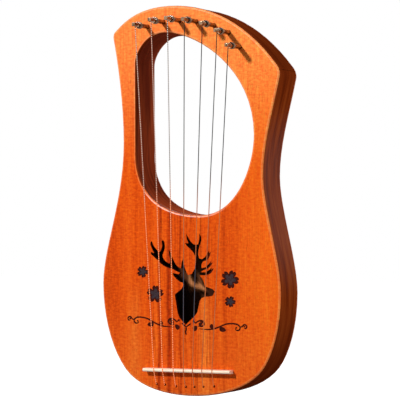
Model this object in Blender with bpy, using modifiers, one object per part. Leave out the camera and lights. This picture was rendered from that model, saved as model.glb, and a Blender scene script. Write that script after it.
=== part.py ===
"""A seven-string lyre harp: a shallow mahogany box with an egg-shaped opening, strung in front.

Metres, +Z up. The soundboard faces -Y. The origin is on the flat of the back, at the middle of
the lower bout, where the player's lap or a table carries the instrument. X runs to the treble side.
"""
import math

import bmesh
import bpy
from mathutils import Matrix, Vector
from mathutils.geometry import interpolate_bezier

# Body sizes
BODY_DEPTH = 0.0400
PLATE_THICKNESS = 0.0035
EDGE_ROUNDING = 0.0025
EDGE_ROUNDING_STEPS = 2
SIDE_WALL = 0.0070
LINING_WALL = 0.0030
GLUE_GAP = 0.0003
TAIL_BLOCK_TOP = -0.0905
HOLLOW_TOP = 0.1050
TREBLE_SEAM = 0.2290
BASS_SEAM = 0.2700
BRACE_WIDTH = 0.0080
BRACE_HEIGHT = 0.0090
SADDLE_BRACE_ABOVE_BLOCK = 0.0040
BACK_BRACE_LOW = -0.0580

# Body outline: point, handle before it, handle after it, as x and z, clockwise from the bass shoulder
OUTLINE = [
    ((-0.0872, 0.2776), (-0.0890, 0.2759), (-0.0704, 0.2932)),
    ((-0.0214, 0.3018), (-0.0526, 0.3018), (0.0318, 0.3018)),
    ((0.1092, 0.2337), (0.0756, 0.2765), (0.1122, 0.2299)),
    ((0.1127, 0.2221), (0.1134, 0.2254), (0.1061, 0.1913)),
    ((0.0935, 0.1207), (0.0935, 0.1549), (0.0935, 0.0877)),
    ((0.1140, 0.0002), (0.1140, 0.0328), (0.1140, -0.0340)),
    ((0.0926, -0.0786), (0.1046, -0.0637), (0.0784, -0.0963)),
    ((0.0041, -0.1088), (0.0450, -0.1088), (-0.0276, -0.1088)),
    ((-0.0731, -0.0840), (-0.0580, -0.1014), (-0.0915, -0.0628)),
    ((-0.1020, 0.0076), (-0.1020, -0.0271), (-0.1020, 0.0460)),
    ((-0.0761, 0.1581), (-0.0761, 0.0961), (-0.0761, 0.2119)),
    ((-0.0891, 0.2705), (-0.0885, 0.2670), (-0.0894, 0.2728)),
]
# Egg-shaped opening, written the same way from its apex
OPENING = [
    ((-0.0250, 0.2735), (-0.0463, 0.2735), (0.0086, 0.2735)),
    ((0.0821, 0.1626), (0.0821, 0.2346), (0.0821, 0.1338)),
    ((0.0192, 0.0804), (0.0642, 0.0804), (-0.0407, 0.0804)),
    ((-0.0593, 0.1445), (-0.0593, 0.1144), (-0.0593, 0.1871)),
    ((-0.0597, 0.2422), (-0.0597, 0.2160), (-0.0597, 0.2536)),
]
LONGEST_STEP = 0.0120
SHORTEST_STEP = 0.0016
DEGREES_A_STEP = 5.5

# Stag's head sound hole, clockwise from the tip of the outer bass antler, in millimetres
BASS_ANTLER = [
    (-39.8, 53.3), (-37.7, 48.8), (-35.2, 45.7), (-32.2, 42.7), (-29.7, 41.6), (-27.8, 44.6), (-26.8, 48.5),
    (-27.3, 53.0), (-25.8, 54.5), (-23.8, 51.5), (-23.3, 46.5), (-24.3, 43.0), (-26.2, 38.5), (-25.7, 35.5),
    (-22.2, 31.5), (-17.7, 29.4), (-16.8, 33.9), (-18.3, 40.4), (-18.3, 44.4), (-15.3, 38.8), (-13.3, 34.3),
    (-10.8, 29.7), (-7.3, 26.2), (-3.8, 24.6), (-2.8, 31.1), (-1.3, 34.5), (-0.3, 30.5), (0.7, 26.0),
    (2.7, 21.4), (4.7, 17.7),
]
CROWN = [(7.2, 18.2), (9.2, 18.7), (12.2, 23.2), (14.2, 25.7)]
TREBLE_ANTLER = [
    (14.2, 36.2), (11.2, 41.7), (7.2, 45.3), (3.2, 48.4), (1.2, 51.4), (5.2, 50.9), (3.2, 55.9), (2.7, 60.9),
    (5.2, 57.3), (7.7, 53.3), (11.2, 50.2), (14.2, 49.2), (17.2, 50.1), (18.2, 53.6), (18.7, 57.6),
    (18.2, 61.6), (20.7, 58.0), (21.2, 54.0), (19.2, 49.1), (17.7, 44.6), (17.2, 39.1), (18.7, 35.1),
    (21.7, 34.5), (25.7, 37.0), (28.2, 40.9), (30.7, 43.8), (30.2, 39.9), (27.2, 35.4), (23.2, 32.5),
    (21.2, 29.1), (21.2, 25.1), (25.7, 26.0), (29.7, 29.4), (33.2, 33.3), (31.7, 29.4), (28.2, 25.4),
    (23.2, 23.0), (20.2, 21.0), (25.7, 20.9), (29.7, 22.9), (33.7, 26.3), (32.7, 22.8), (29.2, 19.3),
    (24.7, 18.4), (19.2, 17.4),
]
FACE_AND_NECK = [
    (22.2, 13.8), (24.2, 10.2), (25.2, 6.6), (29.7, 4.9), (34.2, 3.8), (37.2, 1.2), (34.7, -3.3),
    (30.2, -4.2), (25.2, -4.6), (21.2, -6.0), (19.2, -9.0), (18.2, -12.4), (17.2, -16.9), (16.2, -20.8),
    (13.2, -24.7), (2.2, -34.5), (-1.7, -30.9), (-5.2, -27.3), (-7.7, -22.3), (-8.7, -17.3), (-9.7, -10.8),
    (-10.7, -6.8), (-11.2, -2.8), (-5.8, 1.0), (-2.3, 4.0), (-0.8, 7.1),
]
EAR_AND_BEAM = [
    (-1.3, 9.7), (-4.8, 10.3), (-9.3, 13.4), (-12.7, 16.6), (-14.2, 19.7), (-10.8, 19.1), (-6.3, 18.5),
    (-4.8, 20.0), (-9.3, 21.6), (-13.8, 23.8), (-19.2, 24.9), (-24.7, 27.0), (-28.7, 29.6), (-30.2, 32.1),
    (-33.7, 33.7), (-37.2, 36.8), (-40.7, 39.3), (-40.7, 41.8), (-36.7, 40.3), (-39.2, 44.8), (-41.2, 48.8),
    (-41.2, 51.8),
]
MILLIMETRE = 0.001

# Strings from bass to treble
STRING_COUNT = 7
BASS_STRING_DIAMETER = 0.00090
TREBLE_STRING_DIAMETER = 0.00060
ANCHORS = [(-0.0333, -0.0977), (-0.0231, -0.0980), (-0.0095, -0.0993), (0.0023, -0.0992),
           (0.0129, -0.0987), (0.0236, -0.0982), (0.0363, -0.0972)]
PIN_PLACES = [(-0.0451, 0.2807), (-0.0255, 0.2846), (-0.0056, 0.2851), (0.0148, 0.2828),
              (0.0361, 0.2776), (0.0534, 0.2692), (0.0664, 0.2535)]
SADDLE_CROSSINGS = [-0.0318, -0.0211, -0.0080, 0.0042, 0.0152, 0.0264, 0.0384]

# Saddle
SADDLE_BASS_END = (-0.0460, -0.0828)
SADDLE_TREBLE_END = (0.0590, -0.0812)
SADDLE_THICKNESS = 0.0036
SADDLE_HEIGHT = 0.0080
SADDLE_CROWN_SIDES = 6
NOTCH_DEPTH = 0.0004
NOTCH_RESOLUTION = 2

# Tuning pins
PIN_RADIUS = 0.0025
PIN_STANDING = 0.0290
PIN_SEATED = 0.0260
PIN_HEAD_LENGTH = 0.0065
PIN_HEAD_FLATS = 0.0040
PIN_SIDES = 16
# The domed tip, as radius and depth behind the tip
PIN_DOME = [(0.0012, 0.0001), (0.0020, 0.0005), (PIN_RADIUS, 0.0013)]
PIN_END_CHAMFER = 0.0009
STRING_HOLE_RADIUS = 0.0011
STRING_HOLE_SIDES = 10
STRING_HOLE_FROM_TIP = 0.0148
WIND_CLEARANCE = 0.0003
WIND_GAP = 0.00045
WIND_WHOLE_TURNS = 2
WIND_STEPS = 24
WIRE_TAIL = 0.0020

# String anchors at the tail
ANCHOR_HOLE_RADIUS = 0.0013
BALL_POCKET_RADIUS = 0.0032
BALL_POCKET_DEPTH = 0.0055
BALL_RADIUS = 0.0020
BALL_LENGTH = 0.0040
BALL_WAIST = 0.0013
BALL_SIDES = 12
# The flange of a ball end, as shares of its radius and of half its length
BALL_FLANGE = [(0.80, 1.00), (1.00, 0.75), (1.00, 0.45)]
# Where a wire bends over above its hole, in front of the face and above the anchor
STRING_BEND = [(0.0007, 0.0001), (0.0012, 0.0006)]

# Levels worked out from the sizes
FRONT = -BODY_DEPTH
RIM_FRONT = FRONT + PLATE_THICKNESS + GLUE_GAP
RIM_BACK = -PLATE_THICKNESS - GLUE_GAP
BALL_DEPTH = -BALL_POCKET_DEPTH + GLUE_GAP + BALL_RADIUS
SPLIT_X = OPENING[0][0][0]

# How finely the shapes are made, and how far the cutters reach past the body
CROWN_STEPS = 4
STRING_CROWN_AT = 5
WIRE_RESOLUTION = 1
DRILL_SIDES = 12
GAP_SPACING = 0.00025
WELD_DISTANCE = 0.00001
SHARP_DEGREES = 35.0
REACH = 0.5000


def clear_scene():
    """Remove what the scene starts with."""
    for item in list(bpy.data.objects):
        bpy.data.objects.remove(item, do_unlink=True)


def new_collection(name):
    """Add a collection to the scene."""
    group = bpy.data.collections.new(name)
    bpy.context.scene.collection.children.link(group)
    return group


def make_material(name, colour, roughness, metallic=0.0):
    """A Principled material in one colour."""
    material = bpy.data.materials.new(name)
    material.use_nodes = True
    shader = material.node_tree.nodes["Principled BSDF"]
    shader.inputs["Base Color"].default_value = (*colour, 1.0)
    shader.inputs["Roughness"].default_value = roughness
    shader.inputs["Metallic"].default_value = metallic
    material.diffuse_color = (*colour, 1.0)
    return material


def smooth_outline(nodes):
    """Points along a closed chain of Bezier arcs, closer together where the chain turns."""
    points = []
    for index, (start, _, leaving) in enumerate(nodes):
        end, arriving, _ = nodes[(index + 1) % len(nodes)]
        corners = [Vector(start), Vector(leaving), Vector(arriving), Vector(end)]
        legs = [other - one for one, other in zip(corners, corners[1:])]
        length = sum(leg.length for leg in legs)
        turning = math.degrees(legs[0].angle(legs[1]) + legs[1].angle(legs[2]))
        wanted = min(length / SHORTEST_STEP, turning / DEGREES_A_STEP)
        steps = math.ceil(max(length / LONGEST_STEP, wanted))
        arc = interpolate_bezier(*corners, steps + 1)
        points.extend((point.x, point.y) for point in arc[:-1])
    return points


def inset(points, distance):
    """Move a clockwise outline inwards by a distance, or outwards if it is negative."""
    moved = []
    for index, point in enumerate(points):
        before = Vector(points[index - 1])
        after = Vector(points[(index + 1) % len(points)])
        along = (after - before).normalized()
        moved.append((point[0] + along.y * distance, point[1] - along.x * distance))
    return moved


def to_mesh_object(item, group):
    """Replace a curve or modified object by a plain welded mesh."""
    bpy.context.view_layer.update()
    graph = bpy.context.evaluated_depsgraph_get()
    name = item.name
    mesh = bpy.data.meshes.new_from_object(item.evaluated_get(graph))
    welded = bmesh.new()
    welded.from_mesh(mesh)
    bmesh.ops.remove_doubles(welded, verts=welded.verts, dist=WELD_DISTANCE)
    bmesh.ops.recalc_face_normals(welded, faces=welded.faces)
    welded.to_mesh(mesh)
    welded.free()
    matrix = item.matrix_world.copy()
    bpy.data.objects.remove(item, do_unlink=True)
    result = bpy.data.objects.new(name, mesh)
    result.matrix_world = matrix
    group.objects.link(result)
    return result


def flat_piece(name, outlines, front, back, group, rounding=0.0):
    """A board cut to one or more outlines, between two depths, with its edges rounded if asked."""
    curve = bpy.data.curves.new(name, "CURVE")
    curve.dimensions = "2D"
    curve.fill_mode = "BOTH"
    curve.extrude = (back - front) / 2 - rounding
    curve.bevel_depth = rounding
    curve.bevel_resolution = EDGE_ROUNDING_STEPS
    for outline in outlines:
        spline = curve.splines.new("POLY")
        spline.points.add(len(outline) - 1)
        spline.use_cyclic_u = True
        for point, (x, z) in zip(spline.points, outline):
            point.co = (x, z, 0.0, 1.0)
    item = bpy.data.objects.new(name, curve)
    item.rotation_euler = (math.pi / 2, 0.0, 0.0)
    item.location = (0.0, (front + back) / 2, 0.0)
    group.objects.link(item)
    return to_mesh_object(item, group)


def box_piece(name, low, high, group):
    """A rectangular block between two corners."""
    mesh = bpy.data.meshes.new(name)
    block = bmesh.new()
    bmesh.ops.create_cube(block, size=1.0)
    size = Vector(high) - Vector(low)
    bmesh.ops.scale(block, vec=size, verts=block.verts)
    bmesh.ops.translate(block, vec=(Vector(high) + Vector(low)) / 2, verts=block.verts)
    block.to_mesh(mesh)
    block.free()
    item = bpy.data.objects.new(name, mesh)
    group.objects.link(item)
    return item


def drill_set(name, holes, group, sides=DRILL_SIDES):
    """Round drills as one cutter: each hole is a centre on its axis, a direction, a radius and a length."""
    mesh = bpy.data.meshes.new(name)
    drills = bmesh.new()
    for centre, direction, radius, length in holes:
        turn = Vector((0.0, 0.0, 1.0)).rotation_difference(Vector(direction)).to_matrix().to_4x4()
        bmesh.ops.create_cone(drills, cap_ends=True, segments=sides, radius1=radius, radius2=radius,
                              depth=length, matrix=Matrix.Translation(Vector(centre)) @ turn)
    drills.to_mesh(mesh)
    drills.free()
    item = bpy.data.objects.new(name, mesh)
    group.objects.link(item)
    return item


def tube(name, points, radius, group, resolution=WIRE_RESOLUTION):
    """A wire of one radius along a chain of points, with closed ends."""
    curve = bpy.data.curves.new(name, "CURVE")
    curve.dimensions = "3D"
    curve.bevel_depth = radius
    curve.bevel_resolution = resolution
    curve.use_fill_caps = True
    spline = curve.splines.new("POLY")
    spline.points.add(len(points) - 1)
    for target, source in zip(spline.points, points):
        target.co = (*source, 1.0)
    item = bpy.data.objects.new(name, curve)
    group.objects.link(item)
    bpy.context.view_layer.update()
    return item


def turned(name, profile, sides, group):
    """A piece turned about its own Z axis from a profile of radius and height."""
    mesh = bpy.data.meshes.new(name)
    outline = bmesh.new()
    corners = [outline.verts.new((radius, 0.0, height)) for radius, height in profile]
    for one, other in zip(corners, corners[1:]):
        outline.edges.new((one, other))
    outline.to_mesh(mesh)
    outline.free()
    item = bpy.data.objects.new(name, mesh)
    group.objects.link(item)
    turn = item.modifiers.new("turned", "SCREW")
    turn.axis = "Z"
    turn.steps = sides
    turn.render_steps = sides
    turn.use_merge_vertices = True
    turn.merge_threshold = WELD_DISTANCE
    return item


def carve(item, cutter, operation="DIFFERENCE"):
    """Cut one piece with another and leave the cutter as a hidden guide."""
    modifier = item.modifiers.new(cutter.name, "BOOLEAN")
    modifier.operation = operation
    modifier.solver = "EXACT"
    modifier.object = cutter
    cutter.hide_render = True
    cutter.display_type = "WIRE"


def finish(item, material):
    """Give a piece its material and smooth shading with sharp corners."""
    item.data.materials.clear()
    item.data.materials.append(material)
    if item.type == "MESH":
        item.data.shade_smooth()
        item.data.set_sharp_from_angle(angle=math.radians(SHARP_DEGREES))


def string_diameter(index):
    """Strings thin out evenly from bass to treble."""
    share = index / (STRING_COUNT - 1)
    return BASS_STRING_DIAMETER + (TREBLE_STRING_DIAMETER - BASS_STRING_DIAMETER) * share


def saddle_height_at(x):
    """The saddle's centre line crosses the soundboard at a slight slant."""
    share = (x - SADDLE_BASS_END[0]) / (SADDLE_TREBLE_END[0] - SADDLE_BASS_END[0])
    return SADDLE_BASS_END[1] + (SADDLE_TREBLE_END[1] - SADDLE_BASS_END[1]) * share


def tangent(centre, radius, outside, side):
    """The point where a line from outside touches a circle; side is 1 or -1."""
    reach = outside - centre
    angle = math.acos(radius / reach.length) * side
    return centre + Matrix.Rotation(angle, 2) @ reach.normalized() * radius


def wind_radius(index):
    """The distance of the wound wire's centre from the pin's axis."""
    return PIN_RADIUS + WIND_CLEARANCE + string_diameter(index) / 2


def wind_pitch(index):
    """How far one turn of a string lies from the next along the pin."""
    return string_diameter(index) + WIND_GAP


def leaving_depth(index):
    """Where a string leaves its pin: in front of the whole turns, and a turn more at each end."""
    hole = FRONT - PIN_STANDING + STRING_HOLE_FROM_TIP
    return hole - wind_pitch(index) * (WIND_WHOLE_TURNS + 2)


def string_route(index):
    """The wire's centre line from the ball end, over the saddle, to half a turn round its pin."""
    radius = string_diameter(index) / 2
    anchor_x, anchor_z = ANCHORS[index]
    crossing = SADDLE_CROSSINGS[index]
    pin_x, pin_z = PIN_PLACES[index]
    crown_radius = SADDLE_THICKNESS / 2 - NOTCH_DEPTH + GLUE_GAP + radius
    crown = Vector((FRONT - GLUE_GAP - SADDLE_HEIGHT + SADDLE_THICKNESS / 2, saddle_height_at(crossing)))
    bends = [Vector((anchor_x, FRONT - ahead, anchor_z + above)) for ahead, above in STRING_BEND]
    bend = Vector((bends[-1].y, bends[-1].z))
    leaving = Vector((leaving_depth(index), pin_z))
    ball_face = BALL_DEPTH - BALL_WAIST - GLUE_GAP
    route = [
        Vector((anchor_x, ball_face, anchor_z)),
        Vector((anchor_x, FRONT / 2, anchor_z)),
        Vector((anchor_x, FRONT, anchor_z)),
        *bends,
    ]
    low = tangent(crown, crown_radius, bend, -1) - crown
    high = tangent(crown, crown_radius, leaving, 1) - crown
    first = math.atan2(low.y, low.x)
    sweep = math.atan2(low.x * high.y - low.y * high.x, low.dot(high))
    for step in range(CROWN_STEPS + 1):
        angle = first + sweep * step / CROWN_STEPS
        route.append(Vector((crossing, crown.x + crown_radius * math.cos(angle),
                             crown.y + crown_radius * math.sin(angle))))
    wound = wind_radius(index)
    touch = tangent(Vector((pin_x, pin_z)), wound, Vector((crossing, crown.y)), -1)
    start = math.atan2(touch.y - pin_z, touch.x - pin_x)
    for step in range(WIND_STEPS // 2 + 1):
        angle = start - 2 * math.pi * step / WIND_STEPS
        route.append(Vector((pin_x + wound * math.cos(angle), leaving.x, pin_z + wound * math.sin(angle))))
    return route


def winding_route(index):
    """The turns that ride on the pin, then half a turn down to the hole and the wire's end through it."""
    pin_x, pin_z = PIN_PLACES[index]
    wound = wind_radius(index)
    pitch = wind_pitch(index)
    whole = WIND_WHOLE_TURNS * WIND_STEPS
    start = leaving_depth(index) + pitch
    route = []
    for step in range(whole + WIND_STEPS // 2 - 1):
        angle = -2 * math.pi * step / WIND_STEPS
        extra = max(0, step - whole)
        depth = start + pitch * (step + extra) / WIND_STEPS
        route.append(Vector((pin_x + wound * math.cos(angle), depth, pin_z + wound * math.sin(angle))))
    hole = start + pitch * (WIND_WHOLE_TURNS + 1)
    corner = string_diameter(index) / 2
    route.append(Vector((pin_x - wound, hole, pin_z - corner)))
    route.append(Vector((pin_x - wound + corner, hole, pin_z)))
    route.append(Vector((pin_x, hole, pin_z)))
    route.append(Vector((pin_x + PIN_RADIUS + WIRE_TAIL, hole, pin_z)))
    return route


def least_gap(route, diameter):
    """The least clear gap between the turns of one wire, measured on points along it."""
    spots = []
    run = 0.0
    for one, other in zip(route, route[1:]):
        length = (other - one).length
        pieces = max(1, round(length / GAP_SPACING))
        spots.extend((run + length * step / pieces, one.lerp(other, step / pieces)) for step in range(pieces))
        run += length
    near = math.pi * diameter
    return min((one - other).length for place, one in spots for further, other in spots
               if further - place > near) - diameter


def body_boards(parts, cutters, materials):
    """The soundboard and the back, cut from one outline, with rounded outer and opening edges."""
    outer = inset(smooth_outline(OUTLINE), EDGE_ROUNDING)
    egg = inset(smooth_outline(OPENING), -EDGE_ROUNDING)
    thickness = 2 * PLATE_THICKNESS + 2 * EDGE_ROUNDING
    soundboard = flat_piece("soundboard", [outer, egg], FRONT, FRONT + thickness, parts, EDGE_ROUNDING)
    back_board = flat_piece("back_board", [outer, egg], -thickness, 0.0, parts, EDGE_ROUNDING)
    high = (REACH, REACH, REACH)
    behind = box_piece("soundboard_plane", (-REACH, FRONT + PLATE_THICKNESS, -REACH), high, cutters)
    before = box_piece("back_plane", (-REACH, -REACH, -REACH), (REACH, -PLATE_THICKNESS, REACH), cutters)
    carve(soundboard, behind)
    carve(back_board, before)
    stag = BASS_ANTLER + CROWN + TREBLE_ANTLER + FACE_AND_NECK + EAR_AND_BEAM
    stag = [(x * MILLIMETRE, z * MILLIMETRE) for x, z in stag]
    hole = flat_piece("sound_hole", [stag], FRONT - PLATE_THICKNESS, FRONT + 2 * PLATE_THICKNESS, cutters)
    carve(soundboard, hole)
    along = (0.0, 1.0, 0.0)
    seats = [((x, FRONT, z), along, PIN_RADIUS + GLUE_GAP, BODY_DEPTH / 2) for x, z in PIN_PLACES]
    wires = [((x, FRONT, z), along, ANCHOR_HOLE_RADIUS, BODY_DEPTH / 2) for x, z in ANCHORS]
    carve(soundboard, drill_set("soundboard_drills", seats + wires, cutters))
    pockets = [((x, 0.0, z), along, BALL_POCKET_RADIUS, BODY_DEPTH / 2) for x, z in ANCHORS]
    carve(back_board, drill_set("back_drills", pockets, cutters))
    finish(soundboard, materials["face"])
    finish(back_board, materials["back"])


def rim_blank(name, group, outline):
    """The solid between the boards that each rim piece is sawn from."""
    return flat_piece(name, [outline], RIM_FRONT, RIM_BACK, group)


def rim_pieces(parts, cutters, materials):
    """Arch, two sides and tail block, sawn from one outline, and the bent lining of the opening."""
    outer = smooth_outline(OUTLINE)
    egg = smooth_outline(OPENING)
    lining = flat_piece("opening_lining", [inset(egg, -LINING_WALL), egg], RIM_FRONT, RIM_BACK, parts)
    finish(lining, materials["lining"])
    room = inset(egg, -LINING_WALL - GLUE_GAP)
    hoop = flat_piece("lining_room", [room], -2 * BODY_DEPTH, BODY_DEPTH, cutters)
    hollow = flat_piece("hollow", [inset(outer, SIDE_WALL)], -2 * BODY_DEPTH, BODY_DEPTH, cutters)
    limits = box_piece("hollow_limits", (-REACH, -REACH, TAIL_BLOCK_TOP), (REACH, REACH, HOLLOW_TOP), cutters)
    carve(hollow, limits, "INTERSECT")
    hollow = to_mesh_object(hollow, cutters)
    half = GLUE_GAP / 2
    regions = {
        "bass_side": ((-REACH, -REACH, TAIL_BLOCK_TOP + half), (SPLIT_X, REACH, BASS_SEAM - half)),
        "treble_side": ((SPLIT_X, -REACH, TAIL_BLOCK_TOP + half), (REACH, REACH, TREBLE_SEAM - half)),
        "tail_block": ((-REACH, -REACH, -REACH), (REACH, REACH, TAIL_BLOCK_TOP - half)),
    }
    for name, (low, high) in regions.items():
        piece = rim_blank(name, parts, outer)
        carve(piece, box_piece(name + "_limits", low, high, cutters), "INTERSECT")
        if name != "tail_block":
            carve(piece, hoop)
            carve(piece, hollow)
        finish(piece, materials["side"])
    arch = rim_blank("top_arch", parts, outer)
    bass_corner = (SPLIT_X, REACH, BASS_SEAM + half)
    treble_corner = (REACH, REACH, TREBLE_SEAM + half)
    carve(arch, box_piece("under_bass_seam", (-REACH, -REACH, -REACH), bass_corner, cutters))
    carve(arch, box_piece("under_treble_seam", (SPLIT_X, -REACH, -REACH), treble_corner, cutters))
    carve(arch, hoop)
    along = (0.0, 1.0, 0.0)
    depth = PIN_SEATED + GLUE_GAP
    seats = [((x, FRONT + depth / 2, z), along, PIN_RADIUS + GLUE_GAP, depth) for x, z in PIN_PLACES]
    drills = drill_set("pin_seats", seats, cutters)
    for name in ("top_arch", "bass_side", "treble_side"):
        carve(bpy.data.objects[name], drills)
    finish(arch, materials["side"])
    block = bpy.data.objects["tail_block"]
    wires = [((x, -BODY_DEPTH / 2, z), along, ANCHOR_HOLE_RADIUS, BODY_DEPTH) for x, z in ANCHORS]
    carve(block, drill_set("wire_drills", wires, cutters))
    pockets = [((x, 0.0, z), along, BALL_POCKET_RADIUS, 2 * BALL_POCKET_DEPTH) for x, z in ANCHORS]
    carve(block, drill_set("pocket_drills", pockets, cutters))


def braces(parts, cutters, materials):
    """A bar behind the saddle and one across the back, their ends shaped to the walls of the box."""
    room = inset(smooth_outline(OUTLINE), SIDE_WALL + GLUE_GAP)
    inside = flat_piece("brace_room", [room], -2 * BODY_DEPTH, BODY_DEPTH, cutters)
    bars = {
        "soundboard_brace": (RIM_FRONT, RIM_FRONT + BRACE_HEIGHT, TAIL_BLOCK_TOP + SADDLE_BRACE_ABOVE_BLOCK),
        "back_brace": (RIM_BACK - BRACE_HEIGHT, RIM_BACK, BACK_BRACE_LOW),
    }
    for name, (front, back, low) in bars.items():
        bar = box_piece(name, (-REACH, front, low), (REACH, back, low + BRACE_WIDTH), parts)
        carve(bar, inside, "INTERSECT")
        finish(bar, materials["spruce"])


def saddle(parts, cutters, materials):
    """The bar that the strings cross: a crowned top, notched for each string."""
    bass = Vector((SADDLE_BASS_END[0], 0.0, SADDLE_BASS_END[1]))
    treble = Vector((SADDLE_TREBLE_END[0], 0.0, SADDLE_TREBLE_END[1]))
    length = (treble - bass).length
    foot = FRONT - GLUE_GAP
    top = foot - SADDLE_HEIGHT
    half = SADDLE_THICKNESS / 2
    section = [(half, foot), (-half, foot), (-half, top + half)]
    for step in range(1, SADDLE_CROWN_SIDES):
        angle = math.pi * step / SADDLE_CROWN_SIDES
        section.append((-half * math.cos(angle), top + half - half * math.sin(angle)))
    section.append((half, top + half))
    curve = bpy.data.curves.new("bridge_saddle", "CURVE")
    curve.dimensions = "2D"
    curve.fill_mode = "BOTH"
    curve.extrude = length / 2
    spline = curve.splines.new("POLY")
    spline.points.add(len(section) - 1)
    spline.use_cyclic_u = True
    for point, (across, depth) in zip(spline.points, section):
        point.co = (across, depth, 0.0, 1.0)
    item = bpy.data.objects.new("bridge_saddle", curve)
    slope = math.atan2(treble.z - bass.z, treble.x - bass.x)
    middle = (bass + treble) / 2
    item.matrix_world = Matrix.Translation(middle) @ Matrix.Rotation(math.pi / 2 - slope, 4, "Y")
    parts.objects.link(item)
    item = to_mesh_object(item, parts)
    for index in range(STRING_COUNT):
        notch_radius = string_diameter(index) / 2 + GLUE_GAP
        path = string_route(index)[STRING_CROWN_AT - 1:STRING_CROWN_AT + CROWN_STEPS + 2]
        path[0] = path[1] + (path[0] - path[1]).normalized() * SADDLE_HEIGHT
        path[-1] = path[-2] + (path[-1] - path[-2]).normalized() * SADDLE_HEIGHT
        notch = tube(f"notch_{index + 1}", path, notch_radius, cutters, NOTCH_RESOLUTION)
        carve(item, to_mesh_object(notch, cutters))
    finish(item, materials["saddle"])


def tuning_pins(parts, cutters, materials):
    """Round steel pins with a square end for the key, a string hole and a plain shank in the arch."""
    tip = FRONT - PIN_STANDING
    root = FRONT + PIN_SEATED
    profile = [(0.0, tip)]
    profile += [(radius, tip + depth) for radius, depth in PIN_DOME]
    profile += [(PIN_RADIUS, tip + PIN_HEAD_LENGTH), (PIN_RADIUS, root - PIN_END_CHAMFER)]
    profile += [(PIN_RADIUS - PIN_END_CHAMFER, root), (0.0, root)]
    for index, (x, z) in enumerate(PIN_PLACES):
        name = f"tuning_pin_{index + 1}"
        pin = turned(name, [(radius, -depth) for radius, depth in profile], PIN_SIDES, parts)
        pin.matrix_world = Matrix.Translation((x, 0.0, z)) @ Matrix.Rotation(math.pi / 2, 4, "X")
        bpy.context.view_layer.update()
        stock = stepped_block(name + "_stock", (x, z), tip, cutters)
        carve(pin, stock, "INTERSECT")
        hole = ((x, tip + STRING_HOLE_FROM_TIP, z), (1.0, 0.0, 0.0), STRING_HOLE_RADIUS, 4 * PIN_RADIUS)
        carve(pin, drill_set(name + "_hole", [hole], cutters, STRING_HOLE_SIDES))
        finish(pin, materials["nickel"])


def stepped_block(name, place, tip, group):
    """A block that leaves a square end on a round pin."""
    x, z = place
    wide = 2 * PIN_RADIUS
    narrow = PIN_HEAD_FLATS / 2
    shoulder = tip + PIN_HEAD_LENGTH
    behind = FRONT + 2 * PIN_SEATED
    item = box_piece(name, (x - wide, shoulder, z - wide), (x + wide, behind, z + wide), group)
    block = bmesh.new()
    block.from_mesh(item.data)
    block.faces.ensure_lookup_table()
    front = min(block.faces, key=lambda face: face.calc_center_median().y)
    bmesh.ops.inset_region(block, faces=[front], thickness=wide - narrow, use_even_offset=True)
    grown = bmesh.ops.extrude_face_region(block, geom=[front])
    moved = [part for part in grown["geom"] if isinstance(part, bmesh.types.BMVert)]
    bmesh.ops.translate(block, vec=(0.0, -2 * PIN_HEAD_LENGTH, 0.0), verts=moved)
    bmesh.ops.delete(block, geom=[front], context="FACES_ONLY")
    bmesh.ops.recalc_face_normals(block, faces=block.faces)
    block.to_mesh(item.data)
    block.free()
    return item


def strings(parts, materials):
    """The wires, the turns that ride on the pins, and the brass balls that hold the wires' ends."""
    for index in range(STRING_COUNT):
        radius = string_diameter(index) / 2
        number = index + 1
        wire = tube(f"string_{number}", string_route(index), radius, parts)
        finish(wire, materials["wire"])
        route = winding_route(index)
        print("winding", number, "least gap to itself, mm:", round(least_gap(route, 2 * radius) * 1000, 3))
        winding = tube(f"string_winding_{number}", route, radius, parts)
        finish(winding, materials["wire"])
        ball_end(f"ball_end_{number}", ANCHORS[index], parts, materials["brass"])


def ball_end(name, place, group, material):
    """A brass barrel with a waist, lying across its wire in the pocket of the back."""
    half = BALL_LENGTH / 2
    flange = [(BALL_RADIUS * wide, half * high) for wide, high in BALL_FLANGE]
    profile = [(0.0, half), *flange, (BALL_WAIST, 0.0)]
    profile += [(radius, -height) for radius, height in reversed(flange)]
    profile.append((0.0, -half))
    ball = turned(name, profile, BALL_SIDES, group)
    centre = Matrix.Translation((place[0], BALL_DEPTH, place[1]))
    ball.matrix_world = centre @ Matrix.Rotation(math.pi / 2, 4, "Y")
    finish(ball, material)


def main():
    """Build every piece of the lyre harp."""
    clear_scene()
    parts = new_collection("lyre_harp")
    cutters = new_collection("cutters")
    materials = {
        "face": make_material("stained_mahogany_face", (0.78, 0.20, 0.03), 0.35),
        "back": make_material("stained_mahogany_back", (0.60, 0.14, 0.03), 0.40),
        "side": make_material("dark_mahogany_sides", (0.16, 0.035, 0.015), 0.40),
        "lining": make_material("dark_mahogany_lining", (0.12, 0.03, 0.02), 0.45),
        "spruce": make_material("raw_spruce", (0.70, 0.52, 0.30), 0.70),
        "saddle": make_material("cream_bone", (0.90, 0.84, 0.68), 0.35),
        "nickel": make_material("nickel_plated_steel", (0.75, 0.74, 0.72), 0.20, 1.0),
        "wire": make_material("plated_steel_wire", (0.62, 0.60, 0.58), 0.30, 1.0),
        "brass": make_material("brass", (0.78, 0.58, 0.25), 0.30, 1.0),
    }
    body_boards(parts, cutters, materials)
    rim_pieces(parts, cutters, materials)
    braces(parts, cutters, materials)
    saddle(parts, cutters, materials)
    tuning_pins(parts, cutters, materials)
    strings(parts, materials)


main()
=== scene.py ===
"""The looks of a seven-string lyre harp: stained mahogany, burnt ornament, nickel pins and steel strings.

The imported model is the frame. Every length here is in metres, in the model's own frame: the
soundboard faces -Y, Z runs up to the pins and X to the treble side. Outlines of the ornament are
written in millimetres on the soundboard's face.
"""
from __future__ import annotations

import logging
import math
from dataclasses import dataclass, field
from enum import Enum
from typing import Callable

import bmesh
import bpy
from mathutils import Matrix, Vector

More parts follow.
